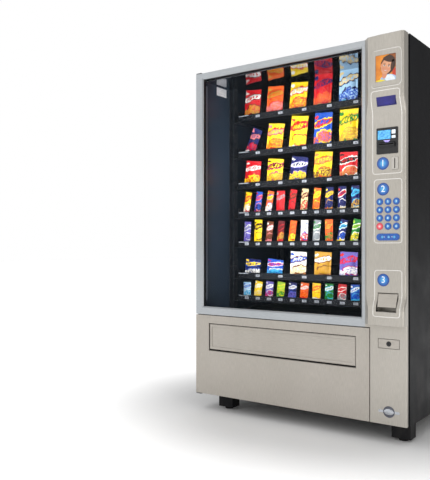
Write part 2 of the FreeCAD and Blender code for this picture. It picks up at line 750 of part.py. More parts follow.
def make_coin_mechanism():
    """Coin slot plate, chute, changer with its tubes, and the cash box under it."""
    x, z = coin_plate_centre
    width, height = coin_plate_size
    plate = rounded_plate(x, z, width, height, 5.0, field_face - 2.0, field_face + 4.0)
    slot_w, slot_h = coin_slot_size
    plate = plate.cut(box(x - slot_w / 2, x + slot_w / 2, field_face - 3.0, field_face + 5.0,
                          z - slot_h / 2, z + slot_h / 2))
    chute = box(x - 9, x + 9, field_face + 4.0, door_back + 30.0, z - height / 2 + 4, z + height / 2 - 4)
    chute = chute.cut(box(x - 6, x + 6, field_face + 4.0, door_back + 27.0, z - height / 2 + 7,
                          z + height / 2 - 7))
    drop = box(x - 9, x + 9, door_back + 6.0, door_back + 30.0, changer_bottom_z + changer_size[2],
               z - height / 2 + 4)
    changer_x0 = bay_left
    body = box(changer_x0, changer_x0 + changer_size[0], door_back, door_back + changer_size[1],
               changer_bottom_z, changer_bottom_z + changer_size[2])
    tubes = []
    for i in range(5):
        tube_x = changer_x0 + 16.0 + i * 25.0
        body = body.cut(box(tube_x - 11, tube_x + 11, door_back + changer_size[1] - 26.0,
                            door_back + changer_size[1], changer_bottom_z + 40, changer_bottom_z + 330))
        tubes.append(rod_z(tube_x, door_back + changer_size[1] - 13.0, changer_bottom_z + 40,
                           changer_bottom_z + 330, 10.0))
    cash_x0 = bay_left + 2.0
    cash = box(cash_x0, cash_x0 + cash_box_size[0], door_back + 1.0, door_back + 1.0 + cash_box_size[1],
               cash_box_bottom_z, cash_box_bottom_z + cash_box_size[2])
    cash = cash.cut(box(cash_x0 + 2, cash_x0 + cash_box_size[0] - 2, door_back + 3.0,
                        door_back + cash_box_size[1] - 1.0, cash_box_bottom_z + 2,
                        cash_box_bottom_z + cash_box_size[2]))
    return [plate, chute.fuse(drop).removeSplitter(), body] + tubes + [cash]


def make_coin_flap():
    """Small flap over the coin cup, hung on a pin at its top and leaning out at its foot."""
    z0 = coin_flap_bottom_z
    z1 = coin_flap_top_z
    y_top = field_face + 1.0
    y_foot = door_face - bulge_at(z0) + 4.0
    t = coin_flap_thickness
    sheet = prism_x([(y_top, z1), (y_foot, z0), (y_foot + t, z0), (y_top + t, z1)],
                    column_centre - coin_flap_width / 2, column_centre + coin_flap_width / 2)
    taper = (coin_flap_width - coin_flap_bottom_width) / 2
    for side in (-1, 1):
        edge = column_centre + side * coin_flap_width / 2
        wedge = prism_y([(edge, z1), (edge, z0 - 1), (edge - side * taper, z0 - 1)], front, door_back)
        sheet = sheet.cut(wedge)
    tube = rod_x(column_centre - coin_flap_width / 2 + 1, column_centre + coin_flap_width / 2 - 1,
                 coin_axis_y,
                 coin_axis_z, 3.0)
    half = cup_size[0] / 2 + cup_wall
    pins = rod_x(column_centre - half, column_centre + half, coin_axis_y, coin_axis_z,
                 flap_pin_radius - 1.0)
    return fuse([sheet, tube, pins])


def make_lock_handle():
    """Pop-out handle: a bar that fills the recess, on a stem that goes through the door."""
    width, height = lock_size
    grip = rounded_plate(column_centre, lock_centre_z, width - 4.0, height - 4.0, 3.0, door_face,
                         door_face + lock_handle_depth)
    grip = grip.cut(rod_y(column_centre, door_face, door_face + 10.0, lock_centre_z, lock_radius + gap))
    stem = rod_y(column_centre, door_face + lock_handle_depth - 1.0, door_back + 40.0, lock_centre_z,
                 lock_bar_radius)
    return fuse([grip, stem])


def make_lock_cylinder():
    plug = rod_y(column_centre, door_face - 1.5, door_face + 9.5, lock_centre_z, lock_radius)
    return plug.cut(box(column_centre - 1.0, column_centre + 1.0, door_face - 2.0, door_face + 5.0,
                        lock_centre_z - 4.5, lock_centre_z + 4.5))


def make_key(x, z):
    """Round cap with a rim behind the skin."""
    y0 = field_face - key_height
    cap = rod_y(x, y0, y0 + key_depth, z, key_radius)
    top = cap.Edges
    rounded = cap.makeFillet(1.0, [e for e in top if abs(e.BoundBox.YMax - y0) < 0.01])
    rim = rod_y(x, field_face + column_skin + gap, y0 + key_depth, z, key_radius + key_lip)
    return fuse([rounded, rim])


def make_key_bar():
    width, height = key_bar_size
    y0 = field_face - key_height
    cap = rounded_plate(column_centre, key_bar_z, width, height, height / 2, y0, y0 + key_depth)
    rim = rounded_plate(column_centre, key_bar_z, width + 2 * key_lip, height + 2 * key_lip, height / 2,
                        field_face + column_skin + gap, y0 + key_depth)
    return fuse([cap, rim])


# ---------------------------------------------------------------- trays
def selection_x(index):
    return first_selection + index * selection_pitch


def divider_places(number):
    step = 1 if number in narrow_trays else 2
    return [tray_left + tray_margin + i * selection_pitch for i in range(step, selections, step)]


def make_tray(number):
    """Drawer: folded pan with a front rail, dividers and one motor behind every coil."""
    top = rail_tops[number - 1]
    floor = tray_floor(number)
    under = floor - tray_sheet
    pan = box(tray_left, tray_right, tray_front, tray_back, under, floor + tray_side_height)
    pan = pan.cut(box(tray_left + tray_sheet, tray_right - tray_sheet, tray_front,
                      tray_back - tray_sheet,
                      floor, floor + tray_side_height))
    rail = prism_x([(tray_front, under), (tray_front + rail_thickness, under),
                    (tray_front + rail_thickness, floor), (tray_front + 4.0, top), (tray_front, top)],
                   tray_left, tray_right)
    pan = pan.fuse(rail).removeSplitter()
    solids = [pan]
    for x in divider_places(number):
        solids.append(box(x - divider_sheet / 2, x + divider_sheet / 2, tray_front + rail_thickness,
                          coil_front + coil_length, floor, floor + divider_height))
    width, depth, height = motor_size
    y0 = coil_front + coil_length + hub_thickness + 1.0
    for i in range(selections):
        x = selection_x(i)
        solids.append(box(x - width / 2, x + width / 2, y0, y0 + depth - 8.0, floor, floor + height))
    return solids


def coil_height(number):
    return tray_floor(number) + coil_lift + coil_radius + coil_wire / 2


def coil_blank():
    """One right-handed wire coil along +Y, starting on its +X side, on the origin."""
    path = Part.Wire(Part.makeHelix(coil_pitch, coil_length, coil_radius))
    half = coil_wire / 2
    corners = [(-half, -half), (half, -half), (half, half), (-half, half), (-half, -half)]
    section = Part.makePolygon([V(coil_radius + u, 0.0, v) for u, v in corners])
    coil = path.makePipeShell([section], True, True)
    coil.rotate(V(0, 0, 0), V(1, 0, 0), -90)
    return coil


def make_coil(blank, number, index, mirrored):
    """A coil and the hub that clips it to its motor."""
    x = selection_x(index)
    z = coil_height(number)
    coil = blank.mirror(V(0, 0, 0), V(1, 0, 0)) if mirrored else blank.copy()
    coil.translate(V(x, coil_front, z))
    hub = rod_y(x, coil_front + coil_length + coil_wire, coil_front + coil_length + hub_thickness, z,
                coil_radius + coil_wire / 2)
    hub = hub.cut(rod_y(x, coil_front + coil_length + coil_wire,
                        coil_front + coil_length + hub_thickness, z, 6.0))
    return [coil, hub]


# One letter a column, from the left. Sizes are width and height of a packet.
packet_sizes = {
    "B": (134.0, 178.0),      # large bag
    "b": (130.0, 150.0),      # bag
    "s": (126.0, 128.0),      # short bag
    "p": (122.0, 86.0),       # low pouch
    "t": (58.0, 128.0),       # tall bar
    "m": (56.0, 112.0),       # bar
    "l": (60.0, 84.0),        # low packet
}
tray_stock = {
    1: "bbbBBb",
    2: "bbBBBb",
    3: "sssbbb",
    4: "mmmmmmmmmmm",
    5: "mmtmmmmmmmm",
    6: "ppsss-",
    7: "lllllllllll",
}


def packet(x, y, z, width, height, thickness, taper):
    """A filled packet: narrow at the foot, full in the middle, flat at the top seal."""
    half = thickness / 2
    foot = 0.3 * half if taper else half
    rise = 2 * coil_radius - belly_drop if taper else 1.0
    top = min(30.0, 0.25 * height)
    outline = [(y - foot, z), (y + foot, z), (y + half, z + rise), (y + half, z + height - top),
               (y + 1.5, z + height), (y - 1.5, z + height), (y - half, z + height - top), (y - half,
                                                                                            z + rise)]
    return prism_x(outline, x - width / 2, x + width / 2)


def make_stock(number):
    """The packets in one tray, the front few of every selection."""
    narrow = number in narrow_trays
    solids = []
    for i, letter in enumerate(tray_stock[number]):
        if letter == "-":
            continue
        width, height = packet_sizes[letter]
        x = selection_x(i) if narrow else selection_x(2 * i) + selection_pitch / 2
        z = tray_floor(number) + (bar_foot if narrow else bag_foot)
        thickness = bar_thickness if narrow else bag_thickness
        for n in range(packets_deep):
            solids.append(packet(x, first_packet + n * coil_pitch, z, width, height, thickness,
                                 not narrow))
    return solids


# ---------------------------------------------------------------- write the nodes
os.makedirs("parts", exist_ok=True)

save("cabinet_shell", make_cabinet())
save("rear_cover", *make_rear_cover())
save("inner_liner", *make_inner_liner())
save("tray_runners", *make_tray_runners())
save("ceiling_mirror", make_ceiling_mirror())
save("delivery_bin", make_delivery_bin())
save("security_baffle", make_security_baffle())
save("legs", *make_legs())
save("control_box", *make_control_box())
save("door_hinges", *make_hinges())

save("door_frame", make_door_frame())
save("window_frame", make_window_frame())
save("window_glass", make_window_glass())
save("door_gasket", make_door_gasket())
save("lamp_strips", *make_lamp_strips())
save("lower_panel", make_lower_panel())
save("delivery_flap", make_delivery_flap())

save("control_column", make_control_column())
save("picture_screen", make_picture_screen())
save("price_display", make_price_display())
save("bill_validator", make_bill_validator())
save("coin_mechanism", *make_coin_mechanism())
save("coin_flap", make_coin_flap())
save("lock_handle", make_lock_handle())
save("lock_cylinder", make_lock_cylinder())
for key_name, key_x, key_z in key_places():
    save(key_name, make_key(key_x, key_z))
save("key_bar", make_key_bar())

vend_tray = 4
vend_index = selections - 1
blank = coil_blank()
for number in range(1, len(rail_tops) + 1):
    save("tray_%d" % number, *make_tray(number))
    coils = []
    for index in range(selections):
        if number == vend_tray and index == vend_index:
            continue
        coils += make_coil(blank, number, index, index % 2 == 0)
    save("coils_%d" % number, *coils)
    save("stock_%d" % number, *make_stock(number))
save("vend_coil", *make_coil(blank, vend_tray, vend_index, False))
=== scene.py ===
import bpy
import math
from mathutils import Matrix, Vector


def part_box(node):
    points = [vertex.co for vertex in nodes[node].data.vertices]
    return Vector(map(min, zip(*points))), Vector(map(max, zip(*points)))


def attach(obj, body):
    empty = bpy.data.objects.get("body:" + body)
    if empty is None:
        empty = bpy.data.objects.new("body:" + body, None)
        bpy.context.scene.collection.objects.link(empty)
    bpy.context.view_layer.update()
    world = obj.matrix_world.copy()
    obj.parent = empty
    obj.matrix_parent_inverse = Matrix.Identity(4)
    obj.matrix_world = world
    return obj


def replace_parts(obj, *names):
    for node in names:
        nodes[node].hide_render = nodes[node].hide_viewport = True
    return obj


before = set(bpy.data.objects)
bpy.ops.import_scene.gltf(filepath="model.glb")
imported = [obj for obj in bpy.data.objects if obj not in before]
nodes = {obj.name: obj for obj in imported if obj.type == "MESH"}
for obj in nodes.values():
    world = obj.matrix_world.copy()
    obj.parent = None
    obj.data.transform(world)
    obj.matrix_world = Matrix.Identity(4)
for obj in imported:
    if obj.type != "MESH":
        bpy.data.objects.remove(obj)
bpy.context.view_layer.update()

# ---- room
# A pale floor under a white sky that lights most from ahead and the left, with a soft lamp ahead of the
# machine, a wide one over it, a narrow one for the bright line down the column's rounded edge, and one
# just behind the glass for the packets. The floor carries painted light that grows with distance from
# the machine, which leaves the floor round the machine darker.
scene = bpy.context.scene
scene.view_settings.view_transform = "Standard"
world = bpy.data.worlds.new("studio")
world.use_nodes = True
sky = world.node_tree
sky_way = sky.nodes.new("ShaderNodeTexCoord")
sky_side = sky.nodes.new("ShaderNodeVectorMath")
sky_side.operation = "DOT_PRODUCT"
sky_side.inputs[1].default_value = (-0.66, -0.62, 0.42)
sky_light = sky.nodes.new("ShaderNodeMapRange")
sky_light.inputs["From Min"].default_value = -1.0
sky_light.inputs["To Min"].default_value = 0.06
sky_light.inputs["To Max"].default_value = 0.98
sky_seen = sky.nodes.new("ShaderNodeLightPath")
sky_choice = sky.nodes.new("ShaderNodeMix")
sky_choice.inputs[3].default_value = 1.0
for source, target in ((sky_way.outputs["Generated"], sky_side.inputs[0]),
                       (sky_side.outputs["Value"], sky_light.inputs["Value"]),
                       (sky_seen.outputs["Is Camera Ray"], sky_choice.inputs[0]),
                       (sky_light.outputs["Result"], sky_choice.inputs[2]),
                       (sky_choice.outputs[0], sky.nodes["Background"].inputs["Strength"])):
    sky.links.new(source, target)
sky.nodes["Background"].inputs["Color"].default_value = (1.0, 1.0, 1.0, 1.0)
scene.world = world

camera_data = bpy.data.cameras.new("camera")
camera_data.lens = 48.0
camera_data.sensor_width = 36.0
camera_data.shift_x = -0.043
camera_data.shift_y = 0.0146
camera = bpy.data.objects.new("camera", camera_data)
camera.location = (1.636, -3.153, 0.8805)
camera.rotation_euler = (math.radians(90.0), 0.0, math.radians(35.96))
scene.collection.objects.link(camera)
scene.camera = camera


def soft_lamp(name, place, aim, size, power, tone):
    """A square lamp that faces a point."""
    lamp = bpy.data.lights.new(name, "AREA")
    lamp.shape = "RECTANGLE"
    lamp.size, lamp.size_y = size
    lamp.energy = power
    lamp.color = tone
    stand = bpy.data.objects.new(name, lamp)
    stand.location = place
    stand.rotation_euler = (Vector(aim) - Vector(place)).to_track_quat("-Z", "Y").to_euler()
    stand.visible_camera = False
    scene.collection.objects.link(stand)


soft_lamp("front_lamp", (-1.6, -4.6, 2.4), (0.0, 0.0, 0.9), (3.2, 2.4), 10.0, (1.0, 0.985, 0.96))
soft_lamp("top_lamp", (0.2, -0.6, 4.6), (0.0, 0.0, 0.6), (4.0, 4.0), 12.0, (1.0, 1.0, 1.0))
soft_lamp("edge_lamp", (3.0, -2.0, 1.2), (0.6, -0.45, 1.0), (0.35, 3.0), 20.0, (1.0, 0.98, 0.95))
soft_lamp("case_lamp", (-0.085, -0.4, 1.17), (-0.085, 0.6, 1.17), (0.8, 1.1), 7.0, (1.0, 0.99, 0.97))
bpy.data.objects["case_lamp"].visible_glossy = False


def linear(red, green, blue):
    """A shop colour on the 0-255 scale as the shader's own."""
    tone = [c / 255.0 for c in (red, green, blue)]
    return tuple(c / 12.92 if c <= 0.04045 else ((c + 0.055) / 1.055) ** 2.4 for c in tone) + (1.0,)


def new_finish(name, roughness, metallic=0.0):
    """An empty finish: the material, its surface shader and the object's own coordinates."""
    material = bpy.data.materials.new(name)
    material.use_nodes = True
    surface = material.node_tree.nodes["Principled BSDF"]
    surface.inputs["Roughness"].default_value = roughness
    surface.inputs["Metallic"].default_value = metallic
    place = material.node_tree.nodes.new("ShaderNodeTexCoord").outputs["Object"]
    return material, surface, place


def grain(material, place, scale, detail=4.0, stretch=(1.0, 1.0, 1.0)):
    """Noise on the piece, drawn out along an axis by a small stretch value."""
    tree = material.node_tree
    mapping = tree.nodes.new("ShaderNodeMapping")
    mapping.inputs["Scale"].default_value = stretch
    noise = tree.nodes.new("ShaderNodeTexNoise")
    noise.inputs["Scale"].default_value = scale
    noise.inputs["Detail"].default_value = detail
    tree.links.new(place, mapping.inputs["Vector"])
    tree.links.new(mapping.outputs["Vector"], noise.inputs["Vector"])
    return noise.outputs["Fac"]


def shade(material, factor, stops):
    """Shop colours spread over a factor, as (position, colour) stops."""
    ramp = material.node_tree.nodes.new("ShaderNodeValToRGB")
    edges = ramp.color_ramp.elements
    for edge, (position, colour) in zip(edges, (stops[0], stops[-1])):
        edge.position, edge.color = position, linear(*colour)
    for position, colour in stops[1:-1]:
        edges.new(position).color = linear(*colour)
    material.node_tree.links.new(factor, ramp.inputs["Fac"])
    return ramp.outputs["Color"]


def spread(material, factor, low, high, start=0.3, end=0.7):
    """A factor carried to a range, for roughness and the like."""
    fit = material.node_tree.nodes.new("ShaderNodeMapRange")
    fit.inputs["From Min"].default_value = start
    fit.inputs["From Max"].default_value = end
    fit.inputs["To Min"].default_value = low
    fit.inputs["To Max"].default_value = high
    material.node_tree.links.new(factor, fit.inputs["Value"])
    return fit.outputs["Result"]


def blended(material, factor, under, over, mode="MIX"):
    """Two colours laid over each other."""
    mix = material.node_tree.nodes.new("ShaderNodeMix")
    mix.data_type = "RGBA"
    mix.blend_type = mode
    for value, socket in ((factor, 0), (under, 6), (over, 7)):
        if isinstance(value, (float, tuple)):
            mix.inputs[socket].default_value = value
        else:
            material.node_tree.links.new(value, mix.inputs[socket])
    return mix.outputs[2]


def relief(material, surface, height, strength, depth):
    """Small bumps in the surface, their depth in metres."""
    bump = material.node_tree.nodes.new("ShaderNodeBump")
    bump.inputs["Strength"].default_value = strength
    bump.inputs["Distance"].default_value = depth
    material.node_tree.links.new(height, bump.inputs["Height"])
    material.node_tree.links.new(bump.outputs["Normal"], surface.inputs["Normal"])


def coat(material, surface, colour, roughness=None):
    """Joins a colour, and a roughness that varies, to the surface."""
    material.node_tree.links.new(colour, surface.inputs["Base Color"])
    if roughness is not None:
        material.node_tree.links.new(roughness, surface.inputs["Roughness"])


def mottled(name, roughness, scale, dark, light, metallic=0.0, detail=4.0):
    """A finish of two near colours in an even mottle."""
    material, surface, place = new_finish(name, roughness, metallic)
    coat(material, surface, shade(material, grain(material, place, scale, detail),
                                  [(0.3, dark), (0.7, light)]))
    return material, surface, place


def worn(material, surface, factor, low, high):
    """A roughness that varies between two values."""
    material.node_tree.links.new(spread(material, factor, low, high), surface.inputs["Roughness"])


floor_paint, floor_surface, floor_place = mottled("floor_paint", 0.6, 1.2, (243, 243, 243),
                                                  (248, 248, 248))
# Painted light: the floor glows more the further it lies from the machine, so round the machine it
# stays darker.
floor_surface.inputs["Emission Color"].default_value = (1.0, 1.0, 1.0, 1.0)
floor_tree = floor_paint.node_tree
floor_plan = floor_tree.nodes.new("ShaderNodeVectorMath")
floor_plan.operation = "MULTIPLY"
floor_plan.inputs[1].default_value = (1.35, 1.55, 0.0)
floor_reach = floor_tree.nodes.new("ShaderNodeVectorMath")
floor_reach.operation = "LENGTH"
floor_painted_light = floor_tree.nodes.new("ShaderNodeMapRange")
floor_painted_light.interpolation_type = "SMOOTHSTEP"
floor_painted_light.inputs["From Min"].default_value = 1.0
floor_painted_light.inputs["From Max"].default_value = 2.1
floor_painted_light.inputs["To Max"].default_value = 0.55
for source, target in ((floor_place, floor_plan.inputs[0]),
                       (floor_plan.outputs["Vector"], floor_reach.inputs[0]),
                       (floor_reach.outputs["Value"], floor_painted_light.inputs["Value"]),
                       (floor_painted_light.outputs["Result"], floor_surface.inputs["Emission Strength"])):
    floor_tree.links.new(source, target)
floor_surface.inputs["Specular IOR Level"].default_value = 0.1
bpy.ops.object.select_all(action="DESELECT")
bpy.ops.mesh.primitive_plane_add(size=60.0, location=(0.0, 0.0, 0.0))
floor = bpy.context.object
floor.name = "floor"
floor.data.materials.append(floor_paint)

# ---- cabinet
# Folded sheet-steel box, powder-coated near black with a fine wrinkle that scatters the light. The rear
# cover is the same steel with pressed louvres, screwed on over the electronics bay.
def wear(node, *finishes):
    """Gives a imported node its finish."""
    piece = nodes[node]
    piece.data.materials.clear()
    for finish in finishes:
        piece.data.materials.append(finish)


def powder_coat(name, dark, light, low_pale_tone):
    """Near-black coating, paler in clouds towards its lower part."""
    material, surface, place = new_finish(name, 0.5)
    surface.inputs["Specular IOR Level"].default_value = 0.14
    mottle = shade(material, grain(material, place, 3.0, 5.0), [(0.3, dark), (0.7, light)])
    # A paler tone clouds the coating, more strongly towards the bottom of the piece.
    height = material.node_tree.nodes.new("ShaderNodeSeparateXYZ")
    material.node_tree.links.new(place, height.inputs["Vector"])
    low = spread(material, height.outputs["Z"], 1.0, 0.0, 0.08, 0.6)
    cloud = spread(material, grain(material, place, 14.0, 6.0, (1.0, 1.0, 0.4)), 0.0, 0.30, 0.45, 0.75)
    low_pale_mask = material.node_tree.nodes.new("ShaderNodeMath")
    low_pale_mask.operation = "MULTIPLY"
    material.node_tree.links.new(low, low_pale_mask.inputs[0])
    material.node_tree.links.new(cloud, low_pale_mask.inputs[1])
    coat(material, surface, blended(material, low_pale_mask.outputs[0], mottle, linear(*low_pale_tone)),
         spread(material, grain(material, place, 6.0, 6.0), 0.40, 0.56))
    relief(material, surface, grain(material, place, 620.0, 2.0), 0.35, 0.0004)
    return material


cabinet_black = powder_coat("cabinet_black", (15, 15, 17), (24, 24, 27), (92, 88, 86))
cover_black = powder_coat("cover_black", (20, 20, 23), (30, 30, 34), (96, 92, 90))
wear("cabinet_shell", cabinet_black)
wear("rear_cover", cover_black)

# ---- legs
# Folded steel legs welded under the cabinet, painted black, each with a screwed levelling foot.
leg_black = powder_coat("leg_black", (16, 16, 18), (25, 25, 28), (88, 84, 80))
wear("legs", leg_black)

# ---- cabinet lining
# Moulded lining over the insulation, dark blue-grey enamel with a soft gloss, and the tray runners
# and mirror ceiling fixed in it.
liner_blue, liner_surface, liner_place = mottled("liner_blue", 0.35, 2.2, (30, 41, 54), (42, 54, 69),
                                                 detail=5.0)
liner_surface.inputs["Specular IOR Level"].default_value = 0.3
worn(liner_blue, liner_surface, grain(liner_blue, liner_place, 8.0, 6.0, (1.0, 1.0, 0.3)), 0.26, 0.45)
relief(liner_blue, liner_surface, grain(liner_blue, liner_place, 260.0, 3.0), 0.15, 0.0003)
wear("inner_liner", liner_blue)


def zinc_plate(name, dark, light, roughness):
    """Zinc-plated steel with its faint crystal pattern."""
    material, surface, place = new_finish(name, roughness, 0.9)
    cells = material.node_tree.nodes.new("ShaderNodeTexVoronoi")
    cells.inputs["Scale"].default_value = 90.0
    material.node_tree.links.new(place, cells.inputs["Vector"])
    spangle = material.node_tree.nodes.new("ShaderNodeSeparateColor")
    material.node_tree.links.new(cells.outputs["Color"], spangle.inputs["Color"])
    coat(material, surface, shade(material, spangle.outputs["Red"], [(0.0, dark), (1.0, light)]),
         spread(material, grain(material, place, 60.0), roughness - 0.08, roughness + 0.12))
    relief(material, surface, grain(material, place, 400.0, 2.0), 0.1, 0.0002)
    return material


runner_zinc = zinc_plate("runner_zinc", (70, 76, 86), (96, 102, 112), 0.42)
wear("tray_runners", runner_zinc)
mirror_silver, mirror_surface, mirror_place = mottled("mirror_silver", 0.06, 5.0, (166, 170, 176),
                                                      (184, 188, 194), 1.0)
worn(mirror_silver, mirror_surface, grain(mirror_silver, mirror_place, 22.0, 5.0), 0.04, 0.12)
wear("ceiling_mirror", mirror_silver)
wear("control_box", zinc_plate("bay_zinc", (120, 124, 126), (150, 154, 156), 0.4))
wear("door_hinges", zinc_plate("hinge_zinc", (96, 98, 100), (130, 132, 134), 0.38))

# ---- delivery bin and baffle
# Tub and anti-theft plate of thin steel, baked dark enamel.
bin_enamel = powder_coat("bin_enamel", (30, 32, 36), (44, 46, 52), (90, 88, 86))
wear("delivery_bin", bin_enamel)
wear("security_baffle", bin_enamel)

# ---- door frame, gasket and lamps
# Welded steel frame behind the door's panels, its soft magnetic gasket, and the two lamp strips that
# light the packets from beside the glass.
wear("door_frame", powder_coat("frame_black", (26, 26, 29), (36, 36, 40), (92, 90, 88)))
gasket_rubber, gasket_surface, gasket_place = mottled("gasket_rubber", 0.7, 30.0, (22, 22, 24),
                                                      (34, 34, 36))
relief(gasket_rubber, gasket_surface, grain(gasket_rubber, gasket_place, 500.0), 0.3, 0.0003)
wear("door_gasket", gasket_rubber)
lamp_white, lamp_surface, lamp_place = new_finish("lamp_white", 0.4)
lamp_tone = shade(lamp_white, grain(lamp_white, lamp_place, 12.0, 2.0, (1.0, 1.0, 0.2)),
                  [(0.3, (86, 94, 106)), (0.7, (100, 108, 120))])
coat(lamp_white, lamp_surface, lamp_tone)
lamp_white.node_tree.links.new(lamp_tone, lamp_surface.inputs["Emission Color"])
lamp_surface.inputs["Emission Strength"].default_value = 0.15
wear("lamp_strips", lamp_white)

# ---- window
# Bright frame of satin-anodised aluminium with a bevelled inner edge, and one pane of clear glass
# bedded behind it.
def satin_metal(name, dark, light, roughness, stretch, metallic=0.75):
    """Anodised or painted metal: fine lines along one way, and a soft bevel along its edges."""
    material, surface, place = new_finish(name, roughness, metallic)
    lines = grain(material, place, 700.0, 3.0, stretch)
    tone = shade(material, lines, [(0.25, dark), (0.75, light)])
    broad = shade(material, grain(material, place, 1.6, 3.0),
                  [(0.3, (240, 240, 238)), (0.7, (255, 255, 255))])
    coat(material, surface, blended(material, 1.0, tone, broad, "MULTIPLY"),
         spread(material, grain(material, place, 11.0, 7.0, (1.0, 1.0, 0.35)), roughness - 0.05,
                roughness + 0.07))
    bevel = material.node_tree.nodes.new("ShaderNodeBevel")
    bevel.inputs["Radius"].default_value = 0.0016
    relief(material, surface, grain(material, place, 420.0, 2.0), 0.10, 0.0002)
    bump = surface.inputs["Normal"].links[0].from_node
    material.node_tree.links.new(bevel.outputs["Normal"], bump.inputs["Normal"])
    return material


frame_silver = satin_metal("frame_silver", (168, 173, 178), (188, 192, 196), 0.32,
                           (0.06, 1.0, 1.0))
wear("window_frame", frame_silver)
pane, pane_surface, _ = mottled("window_pane", 0.03, 3.0, (36, 44, 50), (44, 52, 58))
pane_surface.inputs["Alpha"].default_value = 0.05
pane_surface.inputs["IOR"].default_value = 1.5
wear("window_glass", pane)

# ---- lower panel and delivery flap
# Pressed steel panel and push-in flap in warm silver metallic paint. The flap has a raised border, and
# the hatch's collar shows as a dark gap along its edges.
panel_silver = satin_metal("panel_silver", (170, 164, 156), (190, 184, 176), 0.40,
                           (1.0, 1.0, 0.05), 0.55)
flap_silver = satin_metal("flap_silver", (170, 164, 156), (190, 184, 176), 0.38,
                          (0.05, 1.0, 1.0), 0.55)
wear("lower_panel", panel_silver)
wear("delivery_flap", flap_silver)


def finished(piece, name, body, smooth=True):
    """Leaves a piece at the origin with its place in its mesh, named and riding on its body."""
    bpy.ops.object.select_all(action="DESELECT")
    piece.select_set(True)
    bpy.context.view_layer.objects.active = piece
    bpy.ops.object.transform_apply(location=True, rotation=True, scale=True)
    if smooth:
        bpy.ops.object.shade_smooth_by_angle(angle=math.radians(35.0))
    piece.name = name
    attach(piece, body)
    return piece


def opened(size=(1.0, 1.0, 1.0)):
    """Fixes the size and place of the piece just added in its mesh, and opens it for editing."""
    piece = bpy.context.object
    piece.scale = size
    bpy.ops.object.transform_apply(location=True, rotation=True, scale=True)
    bpy.ops.object.mode_set(mode="EDIT")
    return piece


def apply_all(piece):
    """Applies the piece's modifiers in their order."""
    for modifier in [m.name for m in piece.modifiers]:
        bpy.ops.object.modifier_apply(modifier=modifier)


upright = (math.radians(90.0), 0.0, 0.0)
border_width, border_rise = 0.013, 0.0024
flap_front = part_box("delivery_flap")[0].y
bpy.ops.mesh.primitive_plane_add(size=1.0, location=(-0.0775, flap_front - 0.0002, 0.3985),
                                 rotation=upright)
border = opened((0.851, 0.131, 1.0))
bpy.ops.mesh.select_all(action="SELECT")
bpy.ops.mesh.inset(thickness=border_width, depth=0.0)
bpy.ops.mesh.delete(type="FACE")
bpy.ops.object.mode_set(mode="OBJECT")
rise = border.modifiers.new("rise", "SOLIDIFY")
rise.thickness = border_rise
rise.offset = 1.0
fold = border.modifiers.new("fold", "BEVEL")
fold.width = 0.0018
fold.segments = 2
apply_all(border)
border.data.materials.append(flap_silver)
finished(border, "flap_border", "hatch_flap", False)

# ---- control column
# One tall moulding in the same warm silver. A bead lies on it round each group: the picture, the
# payment group with the display, the keypad and the coin return. The beads' near-white colour is a
# painted highlight along the rounded edges of the raised plates.
column_silver = satin_metal("column_silver", (172, 167, 159), (192, 187, 179), 0.36,
                            (1.0, 1.0, 0.05), 0.5)
wear("control_column", column_silver)
wear("coin_flap", flap_silver)

column_middle = 0.513
field_front = -0.451
bead_width, bead_rise, bead_step = 0.0034, 0.0024, 0.007


def edge_bead(name, x0, x1, z0, z1, radius, finish):
    """A thin rounded bead that runs round a raised plate and lies on the column's curved face."""
    bpy.ops.mesh.primitive_plane_add(size=1.0, location=((x0 + x1) / 2, -0.60, (z0 + z1) / 2),
                                     rotation=upright)
    bead = opened((x1 - x0, z1 - z0, 1.0))
    bpy.ops.mesh.bevel(offset=radius, offset_type="OFFSET", segments=6, affect="VERTICES")
    bpy.ops.mesh.inset(thickness=bead_width, depth=0.0)
    bpy.ops.mesh.delete(type="FACE")
    for axis, first, last in (((0.0, 0.0, 1.0), z0, z1), ((1.0, 0.0, 0.0), x0, x1)):
        for step in range(1, int((last - first) / bead_step)):
            bpy.ops.mesh.select_all(action="SELECT")
            bpy.ops.mesh.bisect(plane_co=Vector(axis) * (first + bead_step * step), plane_no=axis)
    bpy.ops.object.mode_set(mode="OBJECT")
    lay = bead.modifiers.new("lay", "SHRINKWRAP")
    lay.wrap_method = "PROJECT"
    lay.use_project_y = True
    lay.target = nodes["control_column"]
    thicken = bead.modifiers.new("thickness", "SOLIDIFY")
    thicken.thickness = bead_rise
    thicken.offset = 0.0
    round_over = bead.modifiers.new("edge", "BEVEL")
    round_over.width = 0.0009
    round_over.segments = 3
    round_over.limit_method = "ANGLE"
    apply_all(bead)
    bead.data.materials.append(finish)
    return finished(bead, name, "door")


# Near-white bead colour: a painted highlight along the rounded edges of the raised plates.
bead_painted_highlight = satin_metal("bead_painted_highlight", (238, 235, 230), (250, 248, 245), 0.20,
                          (1.0, 1.0, 0.1), 0.35)
for bead_name, x0, x1, z0, z1, radius in (("screen_plate_bead", 0.4405, 0.5855, 1.5885, 1.7555, 0.018),
                                          ("payment_plate_bead", 0.439, 0.579, 1.206, 1.577, 0.014),
                                          ("key_plate_bead", 0.446, 0.579, 0.897, 1.184, 0.014),
                                          ("return_plate_bead", 0.448, 0.579, 0.569, 0.778, 0.014)):
    edge_bead(bead_name, x0, x1, z0, z1, radius, bead_painted_highlight)

# ---- picture screen
# Lit picture behind a clear sheet in the surround at the top of the column: a calm smiling customer
# against an orange wall, built up as a low relief of printed layers.
picture_x = 0.513
picture_z = 1.672
picture_half = (0.0472, 0.0582)
picture_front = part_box("picture_screen")[0].y


